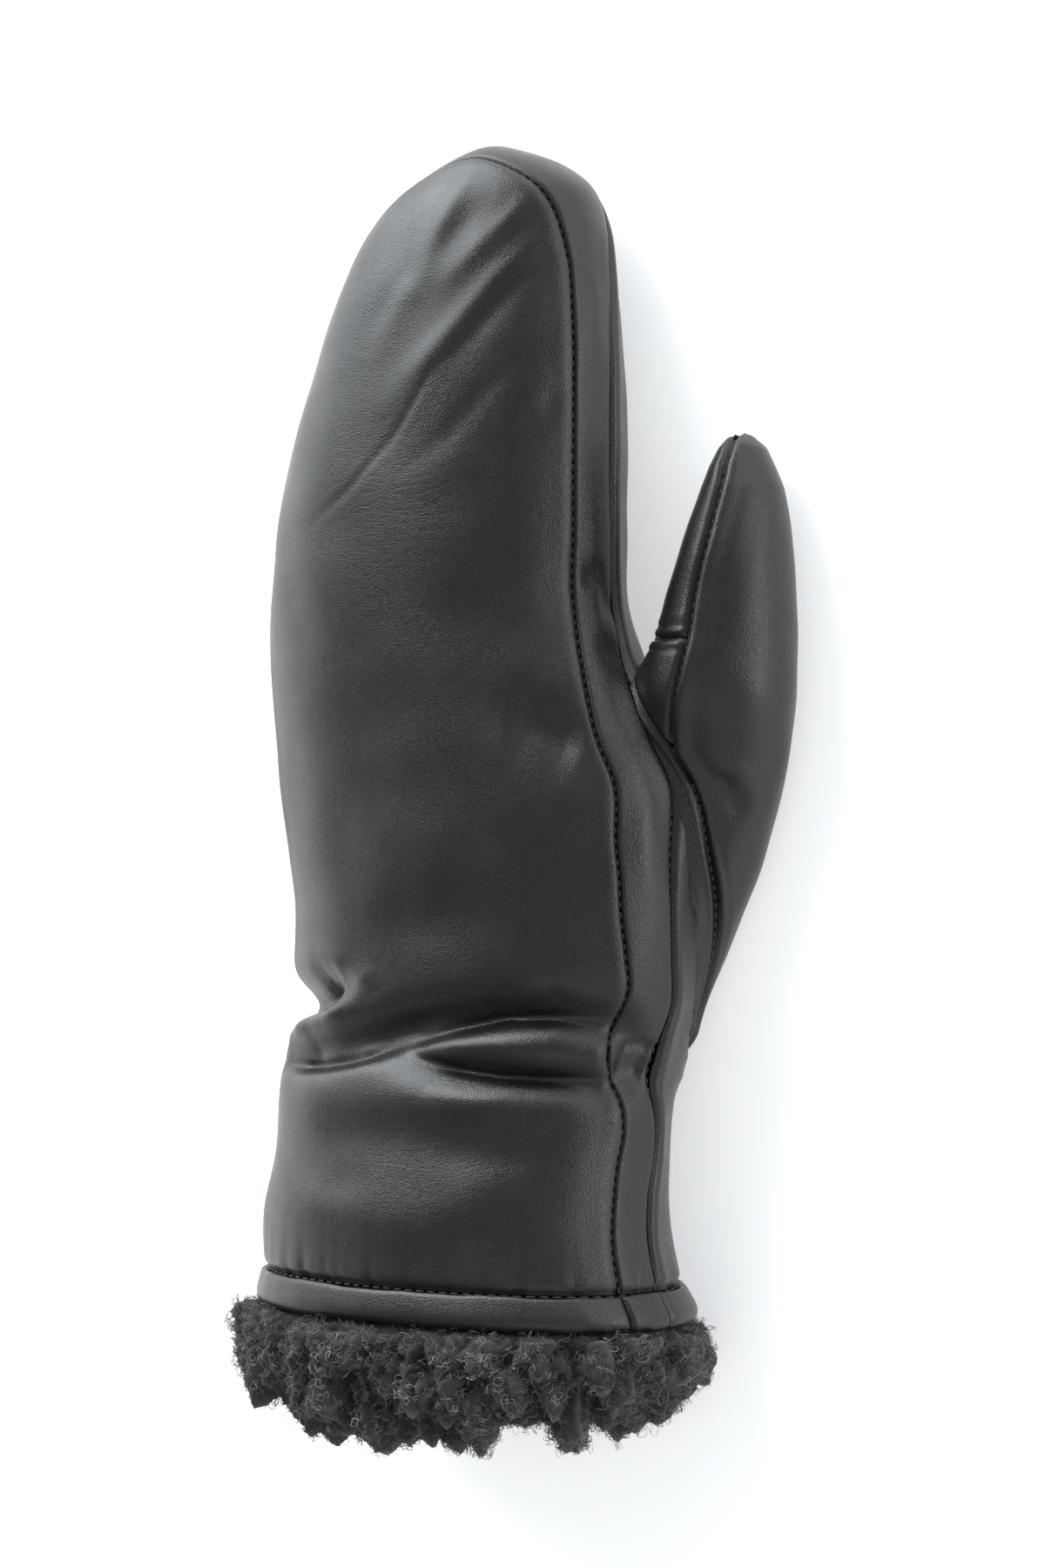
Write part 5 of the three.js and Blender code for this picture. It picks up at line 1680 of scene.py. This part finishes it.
class MITTEN_OT_curls(Operator):
    """Add the curled hairs that cover the pile"""

    bl_idname = "mitten.curls"
    bl_label = "Add Curls"

    def execute(self, context):
        settings = context.scene.mitten_pile
        dark, light = list(settings.dark), list(settings.light)
        # Painted highlight: the fine hairs' tips are several times lighter than the light wool, for
        # light caught on the hair tips; the other layers' tips use the light wool.
        tip_highlight = [min(1.0, channel * 4.8) for channel in light]
        layers = [
            ("pile_curls_deep", 1.0, 101, (0.3, 1.2), (0.4, 1.0), (0.8, 2.0), light, 0.13),
            ("pile_curls_low", 1.0, 104, (0.4, 1.5), (0.5, 1.1), (0.8, 2.0), light, 0.12),
            ("pile_curls_middle", 1.0, 102, (0.6, 2.0), (0.5, 1.2), (0.8, 2.0), light, 0.11),
            ("pile_curls_fine", 0.9, 103, (0.8, 2.6), (0.5, 1.4), (0.7, 1.9), tip_highlight, 0.075),
        ]
        for name, share, seed, rise, radius, turns, tip, thick in layers:
            count = int(settings.hairs * share)
            paths, painted_shading, rng = curl_paths(count, seed, rise, radius, turns)
            points, faces = tubes(paths, thick * rng.uniform(0.7, 1.2, count))
            material = wool_material(f"{name}_wool", dark, tip, 0.3)
            piece = make_object(name, points, faces, material, painted_shading=np.repeat(painted_shading, 3, axis=1))
            place_piece(piece, "pile_cuff", replaced=False)
        return {"FINISHED"}


def recalculate(piece):
    """Turn a closed mesh's faces outward."""
    edit = bmesh.new()
    edit.from_mesh(piece.data)
    bmesh.ops.recalc_face_normals(edit, faces=edit.faces)
    edit.to_mesh(piece.data)
    edit.free()


# Camera, in mm
AIM = (0.0, 129.0, 28.0)  # the point of the mitten that it looks at
AIM_ASIDE = 60 / 4.65  # how far to the right of that point
FOCAL_LENGTH = 97.65
SENSOR_WIDTH = 36.0


def add_area_light(name, place, target, size, power, colour):
    """A square soft light that looks at a place."""
    lamp = bpy.data.lights.new(name, "AREA")
    lamp.size = size
    lamp.energy = power
    lamp.color = colour
    holder = bpy.data.objects.new(name, lamp)
    holder.location = place
    look = Vector(target) - Vector(place)
    holder.rotation_euler = look.to_track_quat("-Z", "Y").to_euler()
    bpy.context.collection.objects.link(holder)


class MITTEN_OT_stage(Operator):
    """Add the floor, the soft studio light and the camera"""

    bl_idname = "mitten.stage"
    bl_label = "Add Stage"

    def execute(self, context):
        settings = context.scene.mitten_stage
        edit = bmesh.new()
        bmesh.ops.create_grid(edit, x_segments=8, y_segments=8, size=4.0)
        mesh = bpy.data.meshes.new("floor")
        edit.to_mesh(mesh)
        edit.free()
        paper = bpy.data.materials.new("floor_paper")
        paper.use_nodes = True
        feed(paper.node_tree, paper.node_tree.nodes["Principled BSDF"], {
            "Base Color": (*settings.floor, 1.0),
            "Roughness": 0.9,
            "Specular IOR Level": 0.1,
            "Emission Color": (0.96, 0.98, 1.0, 1.0),
            "Emission Strength": 0.5 * settings.light,
        })
        mesh.materials.append(paper)
        floor = bpy.data.objects.new("floor", mesh)
        context.collection.objects.link(floor)

        world = bpy.data.worlds.new("studio")
        world.use_nodes = True
        tree = world.node_tree
        sky = add_node(tree, "TexCoord", {})
        way = add_node(tree, "SeparateXYZ", {"Vector": sky.outputs["Generated"]})
        low = add_node(tree, "MapRange", {
            "Value": way.outputs["Z"],
            "From Max": 0.55,
            "To Min": 3.5 * settings.light,
            "To Max": 0.48 * settings.light,
        })
        behind = add_node(tree, "MapRange", {
            "Value": way.outputs["Y"],
            "From Min": -0.85,
            "From Max": 0.15,
            "To Min": 0.30,
        })
        both = add_node(
            tree,
            "Math",
            {0: low.outputs["Result"], 1: behind.outputs["Result"]},
            operation="MULTIPLY",
        )
        feed(tree, tree.nodes["Background"], {
            "Color": (0.93, 0.97, 1.0, 1.0),
            "Strength": both.outputs["Value"],
        })
        context.scene.world = world
        strength = settings.light
        middle = (0.0, 0.02, 0.03)
        cool, warm = (0.93, 0.97, 1.0), (1.0, 0.97, 0.92)
        add_area_light("key", (-0.72, 1.04, 0.70), middle, 1.2, 27.0 * strength, cool)
        add_area_light("thumb_side", (1.55, 0.15, 0.20), middle, 0.7, 4.2 * strength, cool)
        add_area_light("above_camera", (0.60, -0.95, 1.40), middle, 1.4, 5.0 * strength, warm)

        lean = settings.turn
        away = Vector((math.sin(lean), 0.0, math.cos(lean)))
        right = Vector((math.cos(lean), 0.0, -math.sin(lean)))
        up = Vector((0.0, 1.0, 0.0))
        aim = right * AIM_ASIDE + Vector(AIM) + Vector(ORIGIN)
        place = aim * MM + away * settings.distance
        lens = bpy.data.cameras.new("camera")
        lens.lens = FOCAL_LENGTH
        lens.sensor_width = SENSOR_WIDTH
        lens.clip_start = 0.01
        camera = bpy.data.objects.new("camera", lens)
        turn = Matrix((right, up, away)).transposed()
        camera.matrix_world = Matrix.Translation(place) @ turn.to_4x4()
        context.collection.objects.link(camera)
        context.scene.camera = camera
        context.scene.view_settings.view_transform = "Standard"
        return {"FINISHED"}


class MITTEN_PT_panel(Panel):
    """Sizes, colours and steps of the mitten"""

    bl_label = "Leather Mitten"
    bl_idname = "MITTEN_PT_panel"
    bl_space_type = "VIEW_3D"
    bl_region_type = "UI"
    bl_category = "Mitten"

    def draw(self, context):
        for group in ("mitten_leather", "mitten_pile", "mitten_thread", "mitten_stage"):
            settings = getattr(context.scene, group)
            box = self.layout.box()
            for name in settings.__annotations__:
                box.prop(settings, name)
        for step in STEPS:
            self.layout.operator(step.bl_idname)


STEPS = (
    MITTEN_OT_back_panel,
    MITTEN_OT_side_gusset,
    MITTEN_OT_palm_panel,
    MITTEN_OT_thumb,
    MITTEN_OT_hem,
    MITTEN_OT_stitches,
    MITTEN_OT_pile,
    MITTEN_OT_curls,
    MITTEN_OT_stage,
)
SETTINGS = {
    "mitten_leather": MittenLeather,
    "mitten_pile": MittenPile,
    "mitten_thread": MittenThread,
    "mitten_stage": MittenStage,
}


def register():
    """Make the settings, the steps and the panel known to Blender."""
    for name, group in SETTINGS.items():
        bpy.utils.register_class(group)
        setattr(bpy.types.Scene, name, PointerProperty(type=group))
    for step in STEPS:
        bpy.utils.register_class(step)
    bpy.utils.register_class(MITTEN_PT_panel)


def unregister():
    """Take the panel, the steps and the settings away again."""
    bpy.utils.unregister_class(MITTEN_PT_panel)
    for step in reversed(STEPS):
        bpy.utils.unregister_class(step)
    for name, group in SETTINGS.items():
        delattr(bpy.types.Scene, name)
        bpy.utils.unregister_class(group)


def main():
    """Build the whole mitten and its stage."""
    register()
    bpy.ops.mitten.back_panel()
    bpy.ops.mitten.side_gusset()
    bpy.ops.mitten.palm_panel()
    bpy.ops.mitten.thumb()
    bpy.ops.mitten.hem()
    bpy.ops.mitten.stitches()
    bpy.ops.mitten.pile()
    bpy.ops.mitten.curls()
    bpy.ops.mitten.stage()


if __name__ == "__main__":
    main()
